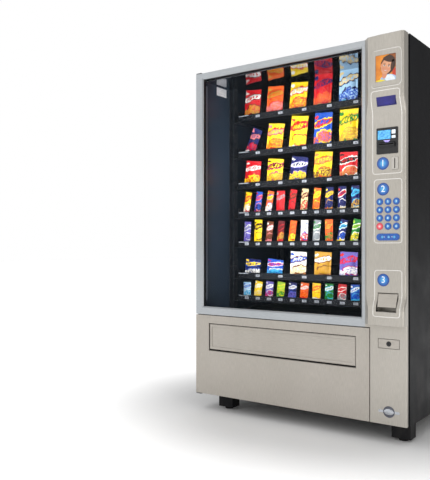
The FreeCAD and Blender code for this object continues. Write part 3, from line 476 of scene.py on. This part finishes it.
def print_ink(name, dark, light, scale, glow=0.03):
    """Printed colour on a lit sheet, a little uneven."""
    material, surface, place = new_finish(name, 0.3)
    tone = shade(material, grain(material, place, scale, 5.0), [(0.3, dark), (0.7, light)])
    coat(material, surface, tone)
    material.node_tree.links.new(tone, surface.inputs["Emission Color"])
    surface.inputs["Emission Strength"].default_value = glow
    return material


wear("picture_screen", print_ink("wall_orange", (196, 104, 30), (238, 152, 40), 26.0))


def disc(sides, place, size, turn=0.0):
    """A flat upright disc, its mesh open for editing."""
    bpy.ops.mesh.primitive_circle_add(vertices=sides, radius=1.0, fill_type="NGON", location=place,
                                      rotation=(math.radians(90.0), math.radians(turn), 0.0))
    return opened((size[0], size[1], 1.0))


def drawn_out(depth):
    """Pulls the face in hand forward."""
    bpy.ops.mesh.extrude_region_move(TRANSFORM_OT_translate={"value": (0.0, -depth, 0.0)})


def shut_mesh():
    """Turns every face of the mesh in hand outward and leaves edit mode."""
    bpy.ops.mesh.select_all(action="SELECT")
    bpy.ops.mesh.normals_make_consistent(inside=False)
    bpy.ops.object.mode_set(mode="OBJECT")


def printed_patch(name, place, half, layer, ink, turn=0.0, sides=28):
    """One oval of the picture, cut off at the picture's own edge, on its layer above the sheet."""
    patch = disc(sides, (picture_x + place[0], picture_front - 0.00016 * layer, picture_z + place[1]),
                 half, turn)
    for normal in ((-1, 0, 0), (1, 0, 0), (0, 0, -1), (0, 0, 1)):
        edge = (picture_x + normal[0] * picture_half[0], 0.0, picture_z + normal[2] * picture_half[1])
        bpy.ops.mesh.select_all(action="SELECT")
        bpy.ops.mesh.bisect(plane_co=edge, plane_no=normal, clear_outer=True, use_fill=False)
    bpy.ops.mesh.select_all(action="SELECT")
    drawn_out(0.00012)
    shut_mesh()
    patch.data.materials.append(ink)
    return finished(patch, name, "door", False)


hair_ink = print_ink("hair_brown", (44, 28, 20), (84, 56, 40), 300.0)
skin_ink = print_ink("skin_warm", (206, 144, 108), (224, 166, 130), 60.0)
cheek_ink = print_ink("cheek_rose", (206, 132, 102), (214, 144, 114), 90.0)
lip_ink = print_ink("lip_rose", (186, 92, 84), (200, 106, 96), 200.0)
white_ink = print_ink("cloth_white", (214, 226, 238), (238, 244, 250), 70.0)
blue_ink = print_ink("cloth_blue", (150, 180, 214), (178, 204, 230), 70.0)
red_ink = print_ink("poster_red", (186, 50, 30), (212, 72, 40), 120.0)
yellow_ink = print_ink("strip_yellow", (226, 206, 40), (244, 226, 70), 120.0)
eye_ink = print_ink("eye_white", (232, 232, 230), (242, 242, 240), 300.0)
iris_ink = print_ink("iris_brown", (52, 36, 28), (74, 50, 38), 600.0)
edge_ink = print_ink("wall_shadow", (120, 60, 24), (164, 92, 34), 40.0)

head_x, head_z, head_turn = 0.004, 0.008, 14.0


def head_patch(name, at, half, layer, ink, turn=0.0):
    """A patch placed on the head, which leans a little to the side."""
    lean = math.radians(head_turn)
    place = (head_x + at[0] * math.cos(lean) + at[1] * math.sin(lean),
             head_z - at[0] * math.sin(lean) + at[1] * math.cos(lean))
    printed_patch(name, place, half, layer, ink, head_turn + turn)


printed_patch("picture_shadow", (0.036, 0.036), (0.026, 0.040), 1, edge_ink)
printed_patch("picture_poster", (0.042, -0.024), (0.012, 0.018), 2, red_ink)
head_patch("picture_hair_back", (0.005, 0.006), (0.0340, 0.0430), 3, hair_ink)
printed_patch("picture_shoulders", (0.016, -0.060), (0.044, 0.030), 4, blue_ink, 10.0)
printed_patch("picture_collar", (0.020, -0.050), (0.024, 0.017), 5, white_ink, 24.0)
head_patch("picture_neck", (0.0, -0.038), (0.0110, 0.018), 6, cheek_ink)
for side in (-1, 1):
    head_patch(f"picture_ear_{side + 2}", (side * 0.0250, -0.001), (0.0040, 0.0078), 6, cheek_ink)
head_patch("picture_face", (0.0, -0.002), (0.0250, 0.0345), 7, skin_ink)
for side in (-1, 1):
    half_name = "left" if side < 0 else "right"
    for feature, x, z, half, layer, ink, turn in (
            ("cheek", 0.0135, -0.0130, (0.0068, 0.0052), 8, cheek_ink, 0.0),
            ("eye", 0.0103, 0.0, (0.0049, 0.0025), 9, eye_ink, 0.0),
            ("iris", 0.0103, -0.0001, (0.0023, 0.0024), 10, iris_ink, 0.0),
            ("lid", 0.0103, 0.0024, (0.0052, 0.0007), 11, hair_ink, 0.0),
            ("brow", 0.0106, 0.0070, (0.0062, 0.0011), 9, hair_ink, 6.0)):
        head_patch(f"picture_{half_name}_{feature}", (side * x, z), half, layer, ink, side * turn)
head_patch("picture_nose", (0.0, -0.0095), (0.0034, 0.0074), 9, cheek_ink)
head_patch("picture_nose_light", (-0.0005, -0.0085), (0.0013, 0.0060), 10, skin_ink)
head_patch("picture_lips", (0.0, -0.0212), (0.0082, 0.0028), 9, lip_ink)
head_patch("picture_smile", (0.0, -0.0206), (0.0060, 0.0011), 10, eye_ink)
head_patch("picture_fringe", (0.004, 0.0290), (0.0270, 0.0110), 9, hair_ink, 6.0)
head_patch("picture_side_lock", (0.0265, 0.006), (0.0075, 0.0260), 9, hair_ink, -4.0)
printed_patch("picture_strip", (-0.024, -0.0545), (0.0270, 0.0055), 12, yellow_ink, 0.0, 4)

# ---- price display
# Dark blue display sheet on the sloping brow, with four faint digits lit behind it.
display_blue = print_ink("display_blue", (16, 14, 74), (38, 34, 128), 20.0, 0.10)
wear("price_display", display_blue)


def lettering(name, text, place, size, finish, body, tilt=0.0, thickness=0.0002):
    """Plain digits raised a hair off the surface they stand on."""
    bpy.ops.object.select_all(action="DESELECT")
    bpy.ops.object.text_add(location=(0.0, 0.0, 0.0))
    digits = bpy.context.object
    digits.data.body = text
    digits.data.size = size
    digits.data.align_x = "CENTER"
    digits.data.align_y = "CENTER"
    digits.data.extrude = thickness
    digits.data.resolution_u = 3
    bpy.ops.object.convert(target="MESH")
    digits = bpy.context.object
    digits.location = place
    digits.rotation_euler = (math.radians(90.0 + tilt), 0.0, 0.0)
    digits.data.materials.append(finish)
    return finished(digits, name, body, False)


digit_glow = print_ink("digit_glow", (120, 132, 214), (150, 164, 232), 90.0, 0.5)
lettering("display_digits", "0.00", (column_middle, -0.4655, 1.527), 0.026, digit_glow, "door",
          -17.0)

# ---- note reader
# Black moulded bezel with a nose under the slot; above it a small lit picture shows which way up the
# note goes, and an arrow glows over the slot.
black_plastic, black_surface, black_place = mottled("black_plastic", 0.42, 40.0, (20, 20, 22),
                                                    (30, 30, 33))
worn(black_plastic, black_surface, grain(black_plastic, black_place, 90.0), 0.34, 0.5)
relief(black_plastic, black_surface, grain(black_plastic, black_place, 900.0, 2.0), 0.3, 0.0002)
wear("bill_validator", black_plastic)

reader_x = 0.5095
reader_z = 1.354
reader_front = -0.455


def inlay(name, place, size, finish, body, y, rise=0.0006, corner=0.002):
    """A thin inlaid plate with softened corners."""
    bpy.ops.mesh.primitive_cube_add(size=1.0, location=(place[0], y - rise / 2, place[1]))
    plate = opened((size[0], rise, size[1]))
    bpy.ops.mesh.select_all(action="DESELECT")
    bpy.ops.object.mode_set(mode="OBJECT")
    for edge in plate.data.edges:
        ends = [plate.data.vertices[i].co for i in edge.vertices]
        edge.select = abs(ends[0].y - ends[1].y) > rise / 2
    bpy.ops.object.mode_set(mode="EDIT")
    bpy.ops.mesh.select_mode(type="EDGE")
    bpy.ops.mesh.bevel(offset=corner, segments=3, affect="EDGES")
    bpy.ops.object.mode_set(mode="OBJECT")
    plate.data.materials.append(finish)
    return finished(plate, name, body, False)


note_blue = print_ink("note_blue", (40, 120, 200), (110, 200, 235), 110.0, 0.35)
note_white = print_ink("note_white", (210, 220, 230), (240, 245, 250), 60.0, 0.3)
arrow_violet = print_ink("arrow_violet", (140, 120, 220), (196, 184, 246), 60.0, 0.7)
for name, x, z, size, finish in (("note_picture", -0.0125, 0.0265, (0.060, 0.040), note_blue),
                                 ("note_mark_upper", 0.0310, 0.0370, (0.018, 0.018), note_white),
                                 ("note_mark_lower", 0.0310, 0.0150, (0.018, 0.012), note_white)):
    inlay(name, (reader_x + x, reader_z + z), size, finish, "door", reader_front)
arrow = disc(3, (reader_x, reader_front - 0.0003, reader_z - 0.0030), (0.01885, 0.00899), 180.0)
drawn_out(0.0004)
shut_mesh()
arrow.data.materials.append(arrow_violet)
finished(arrow, "note_arrow", "door", False)

# ---- coin mechanism
# Slot plate of bright cast metal in the column; behind it the changer and cash box in grey steel.
coin_metal = satin_metal("coin_metal", (176, 172, 166), (204, 200, 194), 0.3,
                         (1.0, 1.0, 0.1), 0.8)
wear("coin_mechanism", coin_metal)

# ---- keys
# Round domed caps of blue plastic, the cancel key red, each lit in the middle with its white mark. The
# wide bar under them has three small lenses and plain signs.
def cap_plastic(name, dark, light):
    """Glossy moulded plastic with the faintest texture."""
    material, surface, place = new_finish(name, 0.28)
    surface.inputs["Coat Weight"].default_value = 0.4
    coat(material, surface, shade(material, grain(material, place, 70.0), [(0.3, dark), (0.7, light)]),
         spread(material, grain(material, place, 260.0), 0.24, 0.34))
    relief(material, surface, grain(material, place, 500.0, 2.0), 0.08, 0.0002)
    return material


key_blue = cap_plastic("key_blue", (14, 74, 160), (24, 96, 188))
key_red = cap_plastic("key_red", (206, 44, 60), (228, 66, 82))


def lens_finish(name, centre, middle, rim):
    """Lens with a faint glow, pale in the middle and deep at its rim, read from the lens's own radial
    map; on the printed badges the glow is painted light.
    """
    material, surface, place = new_finish(name, 0.25)
    surface.inputs["Coat Weight"].default_value = 0.5
    tree = material.node_tree
    chart = tree.nodes.new("ShaderNodeUVMap")
    chart.uv_map = "radial"
    reach = tree.nodes.new("ShaderNodeVectorMath")
    reach.operation = "LENGTH"
    tree.links.new(chart.outputs["UV"], reach.inputs[0])
    tone = shade(material, reach.outputs["Value"], [(0.0, centre), (0.55, middle), (1.0, rim)])
    speck = shade(material, grain(material, place, 300.0),
                  [(0.3, (236, 236, 236)), (0.7, (255, 255, 255))])
    tone = blended(material, 1.0, tone, speck, "MULTIPLY")
    coat(material, surface, tone)
    tree.links.new(tone, surface.inputs["Emission Color"])
    surface.inputs["Emission Strength"].default_value = 0.12
    return material


blue_lens = lens_finish("blue_lens", (120, 200, 236), (34, 122, 196), (10, 54, 140))
red_lens = lens_finish("red_lens", (252, 200, 206), (238, 110, 124), (214, 50, 68))
# The step badges are printed, so their faint glow is painted light.
badge_print_and_painted_glow = lens_finish("badge_print_and_painted_glow", (96, 196, 236), (14, 112, 196), (5, 42, 124))
mark_white = mottled("mark_white", 0.4, 200.0, (236, 242, 246), (250, 252, 254))[0]


def lens(name, x, z, y, radius, rise, finish, body, sides):
    """A domed lens: a disc raised in two steps, with its radial map."""
    glass = disc(sides, (x, y, z), (radius, radius))
    drawn_out(0.6 * rise)
    bpy.ops.mesh.inset(thickness=0.16 * radius, depth=0.3 * rise)
    bpy.ops.mesh.inset(thickness=0.30 * radius, depth=0.1 * rise)
    bpy.ops.mesh.inset(thickness=0.25 * radius, depth=0.0)
    shut_mesh()
    chart = glass.data.uv_layers.new(name="radial")
    for corner, loop in enumerate(glass.data.loops):
        at = glass.data.vertices[loop.vertex_index].co
        chart.data[corner].uv = ((at.x - x) / radius, (at.z - z) / radius)
    glass.data.materials.append(finish)
    return finished(glass, name, body)


key_rows = (("1", "2", "3"), ("4", "5", "6"), ("7", "8", "9"), ("x", "0", "#"))
for marks in key_rows:
    for mark in marks:
        key = {"x": "key_cancel", "#": "key_hash"}.get(mark, f"key_{mark}")
        low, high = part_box(key)
        x, z, y = (low.x + high.x) / 2, (low.z + high.z) / 2, low.y
        plastic, lit, slot = ((key_red, red_lens, "key_red") if mark == "x"
                              else (key_blue, blue_lens, "key_blue"))
        wear(key, plastic)
        lens(f"{key}_lens", x, z, y + 0.0002, 0.0122, 0.0007, lit, f"{key}_cap", 24)
        lettering(f"{key}_mark", mark, (x, y - 0.0006, z), 0.0135, mark_white, f"{key}_cap")

bar_low, bar_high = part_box("key_bar")
wear("key_bar", key_blue)
bar_z = (bar_low.z + bar_high.z) / 2
for dot, x in (("left", -0.026), ("middle", 0.004), ("right", 0.030)):
    lens(f"key_bar_{dot}_lens", column_middle + x, bar_z, bar_low.y + 0.0002, 0.0100, 0.0006, blue_lens,
         "key_bar_cap", 24)
lettering("key_bar_marks", "+    –  =", (column_middle + 0.002, bar_low.y - 0.0006, bar_z), 0.013,
          mark_white, "key_bar_cap")

# ---- step badges
# Three printed discs that number the steps of a sale: pay, choose, take. Their faint glow is painted
# light.
for number, x, z in (("1", 0.489, 1.254), ("2", 0.490, 1.139), ("3", 0.491, 0.733)):
    lens(f"badge_{number}", x, z, field_front + 0.0002, 0.0285, 0.0014, badge_print_and_painted_glow, "door",
         48)
    lettering(f"badge_{number}_digit", number, (x, field_front - 0.0013, z), 0.042, mark_white, "door")

# ---- door lock
# The pull handle fills its recess; the black lock cylinder sits in its middle.
wear("lock_handle", satin_metal("handle_silver", (168, 162, 154), (190, 184, 176), 0.36,
                                (0.05, 1.0, 1.0), 0.55))
wear("lock_cylinder", black_plastic)

# ---- maker's plate
# Plain oval plate of polished metal on a dark backing, held by two rivets, near the column's foot.
plate_dark = mottled("plate_dark", 0.35, 120.0, (66, 68, 78), (88, 90, 102))[0]
plate_bright = satin_metal("plate_bright", (170, 174, 182), (206, 210, 216), 0.25,
                           (0.05, 1.0, 1.0), 0.9)
plate_x, plate_z, door_front = 0.514, 0.145, -0.443
inlay("plate_band", (plate_x, plate_z), (0.100, 0.012), plate_bright, "door", door_front,
      0.0010, 0.0055)
for name, half, rise, finish in (("plate_oval", (0.027, 0.0255), 0.0016, plate_dark),
                                 ("plate_shield", (0.0235, 0.013), 0.0024, plate_bright)):
    oval = disc(40, (plate_x, door_front, plate_z), half)
    drawn_out(0.7 * rise)
    bpy.ops.mesh.inset(thickness=0.0012, depth=0.3 * rise)
    shut_mesh()
    oval.data.materials.append(finish)
    finished(oval, name, "door")
for side in (-1, 1):
    lens(f"plate_rivet_{side + 2}", plate_x + side * 0.044, plate_z, door_front - 0.0008, 0.0026,
         0.0012, plate_bright, "door", 16)

# ---- inside label
# Small white instruction card, left blank, stuck high on the left wall of the lining.
card_white, card_surface, card_place = new_finish("card_white", 0.5)
card_fibre = grain(card_white, card_place, 30.0, 3.0, (1.0, 1.0, 6.0))
coat(card_white, card_surface,
     shade(card_white, card_fibre, [(0.35, (206, 210, 216)), (0.65, (236, 238, 242))]))
bpy.ops.mesh.primitive_cube_add(size=1.0, location=(-0.5594, -0.262, 1.756))
card = opened((0.0012, 0.090, 0.046))
bpy.ops.mesh.bevel(offset=0.0005, segments=1, affect="EDGES")
bpy.ops.object.mode_set(mode="OBJECT")
card.data.materials.append(card_white)
finished(card, "inside_card", "cabinet", False)

# ---- trays and their number tags
# Folded steel drawers, dark enamel, with a clear-faced rail along the front. A pale tag with the
# selection's number is clipped to the rail at the right of every coil. A pale strip at the left end of
# each rail is a painted reflection of the lamp on the glossy rail.
rail_tops = (1.624, 1.420, 1.244, 1.079, 0.913, 0.737, 0.611)
narrow_trays = (4, 5, 7)
pitch = 0.074
first_coil_x = -0.444
tray_front = -0.203
tray_dark, tray_surface, tray_place = mottled("tray_dark", 0.38, 5.0, (15, 18, 23), (25, 29, 36), 0.2,
                                              5.0)
tray_surface.inputs["Specular IOR Level"].default_value = 0.3
worn(tray_dark, tray_surface, grain(tray_dark, tray_place, 30.0, 5.0, (0.1, 1.0, 1.0)), 0.26, 0.44)
relief(tray_dark, tray_surface, grain(tray_dark, tray_place, 350.0), 0.1, 0.0002)
# Grey of the tags, also used for the painted reflection strip at each rail's left end.
tag_and_painted_glint = mottled("tag_and_painted_glint", 0.4, 60.0, (120, 126, 136), (168, 173, 182))[0]
tag_ink = mottled("tag_ink", 0.5, 90.0, (24, 26, 34), (40, 42, 52))[0]


def joined(pieces):
    """Makes one piece of several."""
    bpy.ops.object.select_all(action="DESELECT")
    for piece in pieces:
        piece.select_set(True)
    bpy.context.view_layer.objects.active = pieces[0]
    bpy.ops.object.join()
    return bpy.context.object


for tray, rail_top in enumerate(rail_tops, 1):
    wear(f"tray_{tray}", tray_dark)
    step = 1 if tray in narrow_trays else 2
    tags = []
    for selection in range(0, 12, step):
        x = first_coil_x + (selection + step - 1) * pitch + 0.018
        tag = inlay("tag", (x, rail_top - 0.0155), (0.026, 0.013), tag_and_painted_glint, f"drawer_{tray}",
                    tray_front, 0.0012, 0.0015)
        number = lettering("number", f"{tray}{selection:02d}"[:3], (x, tray_front - 0.0013,
                           rail_top - 0.0160), 0.0092, tag_ink, f"drawer_{tray}", 0.0, 0.0001)
        tags += [tag, number]
    # A pale strip at the rail's left end: a painted reflection of the lamp on the glossy rail.
    painted_rail_glint = inlay("painted_rail_glint", (-0.448, rail_top - 0.0050), (0.066, 0.0045), tag_and_painted_glint, f"drawer_{tray}",
                  tray_front, 0.0008, 0.001)
    finished(joined([painted_rail_glint] + tags), f"tray_{tray}_tags", f"drawer_{tray}", False)

# ---- coils
# Spring-steel wire coils that carry the packets forward, wound left and right in turn, their first half
# turn wound flat. Each is pushed on a dark nylon hub that its motor turns.
coil_radius = 0.028
coil_length = 0.520
coil_start = -0.189
coil_turns, steps_per_turn = 8, 14
coil_pitch = coil_length / coil_turns
selections = 12
wire_steel, wire_surface, wire_place = mottled("wire_steel", 0.32, 80.0, (24, 25, 28), (46, 48, 53),
                                               0.85)
worn(wire_steel, wire_surface, grain(wire_steel, wire_place, 200.0), 0.26, 0.4)
hub_black = mottled("hub_black", 0.5, 50.0, (24, 24, 27), (36, 36, 40))[0]

bpy.ops.object.select_all(action="DESELECT")
bpy.ops.mesh.primitive_circle_add(vertices=7, radius=0.002, fill_type="NGON",
                                  location=(coil_radius, 0.0, 0.0))
wire = bpy.context.object
bpy.ops.object.transform_apply(location=True, rotation=True, scale=True)
bpy.ops.object.duplicate()
front_turn = bpy.context.object
bpy.ops.object.mode_set(mode="EDIT")
bpy.ops.mesh.select_all(action="SELECT")
bpy.ops.mesh.spin(steps=10, angle=math.pi, center=(0.0, 0.0, 0.0), axis=(0.0, -1.0, 0.0))
shut_mesh()
front_turn.data.materials.append(wire_steel)
bpy.ops.object.select_all(action="DESELECT")
wire.select_set(True)
bpy.context.view_layer.objects.active = wire
winding = wire.modifiers.new("winding", "SCREW")
winding.axis = "Y"
winding.angle = coil_turns * 2.0 * math.pi
winding.screw_offset = coil_length
winding.steps = winding.render_steps = coil_turns * steps_per_turn
winding.use_normal_calculate = True
bpy.ops.object.modifier_apply(modifier="winding")
wire.data.materials.append(wire_steel)
bpy.ops.object.shade_smooth_by_angle(angle=math.radians(60.0))

bpy.ops.mesh.primitive_cylinder_add(vertices=20, radius=0.030, depth=0.004, rotation=upright,
                                    location=(0.0, coil_length + 0.006, 0.0))
hub = opened()
bpy.ops.mesh.bevel(offset=0.0008, segments=1, affect="EDGES")
bpy.ops.object.mode_set(mode="OBJECT")
hub.data.materials.append(hub_black)
blank_coil = joined([wire, front_turn, hub])


def placed_copy(blank, matrix, name):
    """A copy with its own mesh, carried to its place."""
    copy = bpy.data.objects.new(name, blank.data.copy())
    copy.data.transform(matrix)
    if matrix.determinant() < 0.0:
        copy.data.flip_normals()
    scene.collection.objects.link(copy)
    return copy


for tray, rail_top in enumerate(rail_tops, 1):
    row = []
    for selection in range(selections):
        hand = Matrix.Scale(-1.0, 4, (1.0, 0.0, 0.0)) if selection % 2 == 0 else Matrix.Identity(4)
        seat = Matrix.Translation((first_coil_x + selection * pitch, coil_start, rail_top + 0.001))
        coil = placed_copy(blank_coil, seat @ hand, "coil")
        if tray == 4 and selection == selections - 1:
            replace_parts(finished(coil, "round_vend_coil", "turning_coil", False), "vend_coil")
        else:
            row.append(coil)
    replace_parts(finished(joined(row), f"round_coils_{tray}", f"drawer_{tray}", False),
                f"coils_{tray}")
bpy.data.objects.remove(blank_coil)

# ---- packets
# Printed film bags and bars: a pillow of film welded flat at its head and foot, crumpled between. Each
# one's print is a ground in two colours, a slanting panel with rows of strokes, and a round picture of
# what is inside.
film, film_surface, film_place = new_finish("printed_film", 0.3)
film_surface.inputs["Specular IOR Level"].default_value = 0.35
film_surface.inputs["Coat Weight"].default_value = 0.15
film_surface.inputs["Coat Roughness"].default_value = 0.15
film_tree = film.node_tree


def film_colour(name):
    """An ink that each packet carries as an attribute."""
    reader = film_tree.nodes.new("ShaderNodeAttribute")
    reader.attribute_name = name
    return reader.outputs["Color"]


def film_math(operation, first, second=0.0, third=0.0):
    """One sum in the film's shader, of sockets or numbers."""
    step = film_tree.nodes.new("ShaderNodeMath")
    step.operation = operation
    for value, socket in ((first, 0), (second, 1), (third, 2)):
        if isinstance(value, float):
            step.inputs[socket].default_value = value
        else:
            film_tree.links.new(value, step.inputs[socket])
    return step.outputs[0]


film_map = film_tree.nodes.new("ShaderNodeUVMap")
film_map.uv_map = "print"
film_axes = film_tree.nodes.new("ShaderNodeSeparateXYZ")
film_tree.links.new(film_map.outputs["UV"], film_axes.inputs["Vector"])
across, up = film_axes.outputs["X"], film_axes.outputs["Y"]
shake = film_math("MULTIPLY", film_math("SUBTRACT", grain(film, film_place, 55.0, 3.0), 0.5), 0.22)


def film_spot(centre_x, centre_z, half_x, half_z, lean):
    """1 inside a leaning oval of the print, 0 outside."""
    dx = film_math("SUBTRACT", across, centre_x)
    dz = film_math("SUBTRACT", film_math("ADD", up, shake), centre_z)
    dz = film_math("MULTIPLY_ADD", dx, lean, dz)
    dx = film_math("DIVIDE", dx, half_x)
    dz = film_math("DIVIDE", dz, half_z)
    reach = film_math("ADD", film_math("MULTIPLY", dx, dx), film_math("MULTIPLY", dz, dz))
    return film_math("LESS_THAN", reach, 1.0)


ground = blended(film, film_math("GREATER_THAN", film_math("MULTIPLY_ADD", across, -0.16,
                 film_math("ADD", up, shake)), 0.26), film_colour("foot"), film_colour("head"))
print_tone = blended(film, film_spot(0.62, 0.30, 0.34, 0.19, 0.0), ground, film_colour("accent"))
mottle = film_math("GREATER_THAN", grain(film, film_place, 160.0, 3.0), 0.54)
food = blended(film, mottle, film_colour("food"), film_colour("head"))
print_tone = blended(film, film_spot(0.62, 0.30, 0.29, 0.155, 0.0), print_tone, food)
print_tone = blended(film, film_spot(0.24, 0.20, 0.16, 0.10, 0.0), print_tone, food)
print_tone = blended(film, film_spot(0.50, 0.70, 0.42, 0.135, -0.22), print_tone,
                     film_colour("accent"))
print_tone = blended(film, film_spot(0.50, 0.70, 0.37, 0.100, -0.22), print_tone,
                     film_colour("panel"))
strokes = film_math("SINE", film_math("MULTIPLY", film_math("ADD", across, shake), 58.0))
strokes = film_math("MULTIPLY", film_math("GREATER_THAN", strokes, -0.25),
                    film_spot(0.50, 0.70, 0.30, 0.060, -0.22))
print_tone = blended(film, strokes, print_tone, film_colour("head"))
print_tone = blended(film, film_spot(0.22, 0.88, 0.09, 0.045, 0.0), print_tone, film_colour("panel"))
coat(film, film_surface, print_tone, spread(film, grain(film, film_place, 120.0, 4.0), 0.22, 0.42))
film_weld = film_tree.nodes.new("ShaderNodeTexWave")
film_weld.inputs["Scale"].default_value = 16.0
film_tree.links.new(film_map.outputs["UV"], film_weld.inputs["Vector"])
from_middle = film_math("ABSOLUTE", film_math("SUBTRACT", up, 0.5))
weld_zone = film_math("MULTIPLY", film_weld.outputs["Fac"],
                      film_math("GREATER_THAN", from_middle, 0.455))
film_height = film_math("ADD", film_math("MULTIPLY", weld_zone, 0.35),
                        grain(film, film_place, 70.0, 4.0))
relief(film, film_surface, film_height, 0.55, 0.0012)

bpy.ops.mesh.primitive_grid_add(x_subdivisions=8, y_subdivisions=12, size=1.0, rotation=upright,
                                location=(0.0, -0.5, 0.0))
bag = opened()
bpy.ops.mesh.select_all(action="SELECT")
bpy.ops.mesh.extrude_region_move(TRANSFORM_OT_translate={"value": (0.0, 1.0, 0.0)})
bpy.ops.mesh.select_all(action="SELECT")
bpy.ops.mesh.normals_make_consistent(inside=False)
bpy.ops.mesh.select_all(action="DESELECT")
bpy.ops.mesh.select_mode(type="VERT")


def pinch(chosen, value, reach):
    """Squeezes the chosen rim of the bag flat, and eases in what is near it."""
    bpy.ops.object.mode_set(mode="OBJECT")
    for vertex in bag.data.vertices:
        vertex.select = chosen(vertex.co)
    bpy.ops.object.mode_set(mode="EDIT")
    bpy.ops.transform.resize(value=value, center_override=(0.0, 0.0, 0.0), use_proportional_edit=True,
                             proportional_edit_falloff="SMOOTH", proportional_size=reach)


pinch(lambda at: abs(at.x) > 0.49, (1.0, 0.12, 1.0), 0.46)
pinch(lambda at: at.z > 0.49, (1.0, 0.05, 1.0), 0.36)
pinch(lambda at: at.z < -0.49, (1.0, 0.05, 1.0), 0.46)
pinch(lambda at: at.z < -0.49, (0.76, 1.0, 1.0), 0.95)
pinch(lambda at: -0.30 < at.z < 0.20 and abs(at.x) > 0.40, (0.93, 1.0, 1.0), 0.22)
bpy.ops.object.mode_set(mode="OBJECT")
chart = bag.data.uv_layers.new(name="print")
for corner, loop in enumerate(bag.data.loops):
    at = bag.data.vertices[loop.vertex_index].co
    chart.data[corner].uv = (at.x + 0.5, at.z + 0.5)
bag.data.materials.append(film)
bpy.ops.object.shade_smooth_by_angle(angle=math.radians(60.0))

inks = {"r": (198, 16, 28), "o": (222, 92, 16), "y": (240, 204, 16), "w": (226, 226, 222),
        "b": (16, 74, 178), "n": (16, 26, 92), "c": (60, 168, 214), "g": (30, 122, 44),
        "l": (150, 190, 34), "v": (96, 86, 170), "m": (176, 22, 96), "p": (214, 120, 124),
        "k": (18, 18, 22), "t": (190, 124, 62), "e": (224, 202, 146), "a": (104, 52, 28),
        "s": (128, 134, 140), "f": (190, 142, 40), "d": (96, 12, 24), "h": (160, 200, 232)}
# Head, foot, panel, food and accent inks of every packet, then how many degrees it leans.
bag_prints = {
    1: (("rrwfd", 5), ("orfpr", 5), ("yrwor", 6), ("rtnor", 4), ("hcebn", 2), ("gglte", 1)),
    2: (("nwprk", 24), ("yrpor", 8), ("ywryr", 7), ("bbroy", 4), ("yggff", 2), ("rreoy", 1)),
    3: (("rowyr", 7), ("yfdfm", 6), ("nywyv", 10), ("yntao", 5), ("rkktw", 2), ("bbwtc", 1)),
    4: (("yprwr", 10), ("brrnp", 10), ("owywb", 11), ("rrsrr", 2), ("rdard", 9), ("eedrd", 6),
        ("oryoy", 7), ("noynf", 4), ("nernw", 2), ("necfc", 1), ("glwgl", 0)),
    5: (("vvsvw", 4), ("yykya", 3), ("apwap", 8), ("drdfr", 6), ("oyoyr", 8), ("wrwrb", 3),
        ("ssgsw", 6), ("oofgr", 0), ("nycbw", 12), ("gllyw", 11), ("bcwbc", 0)),
    6: (("nbywb", 6), ("bnmcw", 6), ("wtbea", 3), ("ftwfa", 3), ("vbrwm", 2)),
    7: (("hcbcw", 0), ("yywey", 8), ("vmwmw", 6), ("lglgy", 7), ("nvwvb", 6), ("orwor", 6),
        ("ywoyo", 2), ("ggwgc", 3), ("rsrsw", 4), ("bcwbc", 0), ("oroyo", 0)),
}
# Width and height of the packets, and of one that stands out from its tray's others.
row_sizes = {1: (0.146, 0.158), 2: (0.146, 0.180), 3: (0.142, 0.138), 4: (0.062, 0.122),
             5: (0.062, 0.120), 6: (0.138, 0.134), 7: (0.068, 0.088)}
odd_sizes = {(1, 3): (0.146, 0.180), (1, 4): (0.146, 0.180), (2, 0): (0.090, 0.150),
             (2, 1): (0.144, 0.156), (2, 5): (0.144, 0.154), (3, 3): (0.146, 0.152),
             (3, 4): (0.138, 0.138), (3, 5): (0.144, 0.150), (4, 3): (0.074, 0.118),
             (5, 1): (0.070, 0.130), (6, 0): (0.142, 0.092), (6, 1): (0.142, 0.092),
             (7, 0): (0.070, 0.080)}
crumple = bpy.data.textures.new("film_crumple", "CLOUDS")
crumple.noise_scale = 0.022
crumple.noise_depth = 2

for tray, rail_top in enumerate(rail_tops, 1):
    narrow = tray in narrow_trays
    thickness = 0.017 if narrow else 0.034
    foot = rail_top + 0.001 - (0.010 if narrow else 0.017)
    shelf = []
    for index, (letters, lean) in enumerate(bag_prints[tray]):
        width, height = odd_sizes.get((tray, index), row_sizes[tray])
        x = first_coil_x + (index if narrow else 2 * index + 0.5) * pitch
        slim = 0.92 if tray in (4, 5) and lean > 4 else 1.0
        turn = Matrix.Rotation(math.radians(lean), 4, "Y")
        sway = 0.4 * height * math.sin(math.radians(lean))
        matrix = (Matrix.Translation((x - sway, coil_start + coil_pitch / 4, foot)) @ turn
                  @ Matrix.Diagonal((width * slim, thickness, height, 1.0))
                  @ Matrix.Translation((0.0, 0.0, 0.5)))
        packet = placed_copy(bag, matrix, "packet")
        for zone, letter in zip(("head", "foot", "panel", "food", "accent"), letters):
            ink = packet.data.attributes.new(zone, "FLOAT_COLOR", "POINT")
            ink.data.foreach_set("color", linear(*inks[letter]) * len(packet.data.vertices))
        shelf.append(packet)
    packets = joined(shelf)
    folds = packets.modifiers.new("folds", "DISPLACE")
    folds.texture = crumple
    folds.texture_coords = "LOCAL"
    folds.strength = 0.004 if narrow else 0.007
    folds.mid_level = 0.5
    bpy.context.view_layer.objects.active = packets
    bpy.ops.object.modifier_apply(modifier="folds")
    finished(packets, f"packets_{tray}", f"drawer_{tray}", False)
    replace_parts(packets, f"stock_{tray}")
bpy.data.objects.remove(bag)
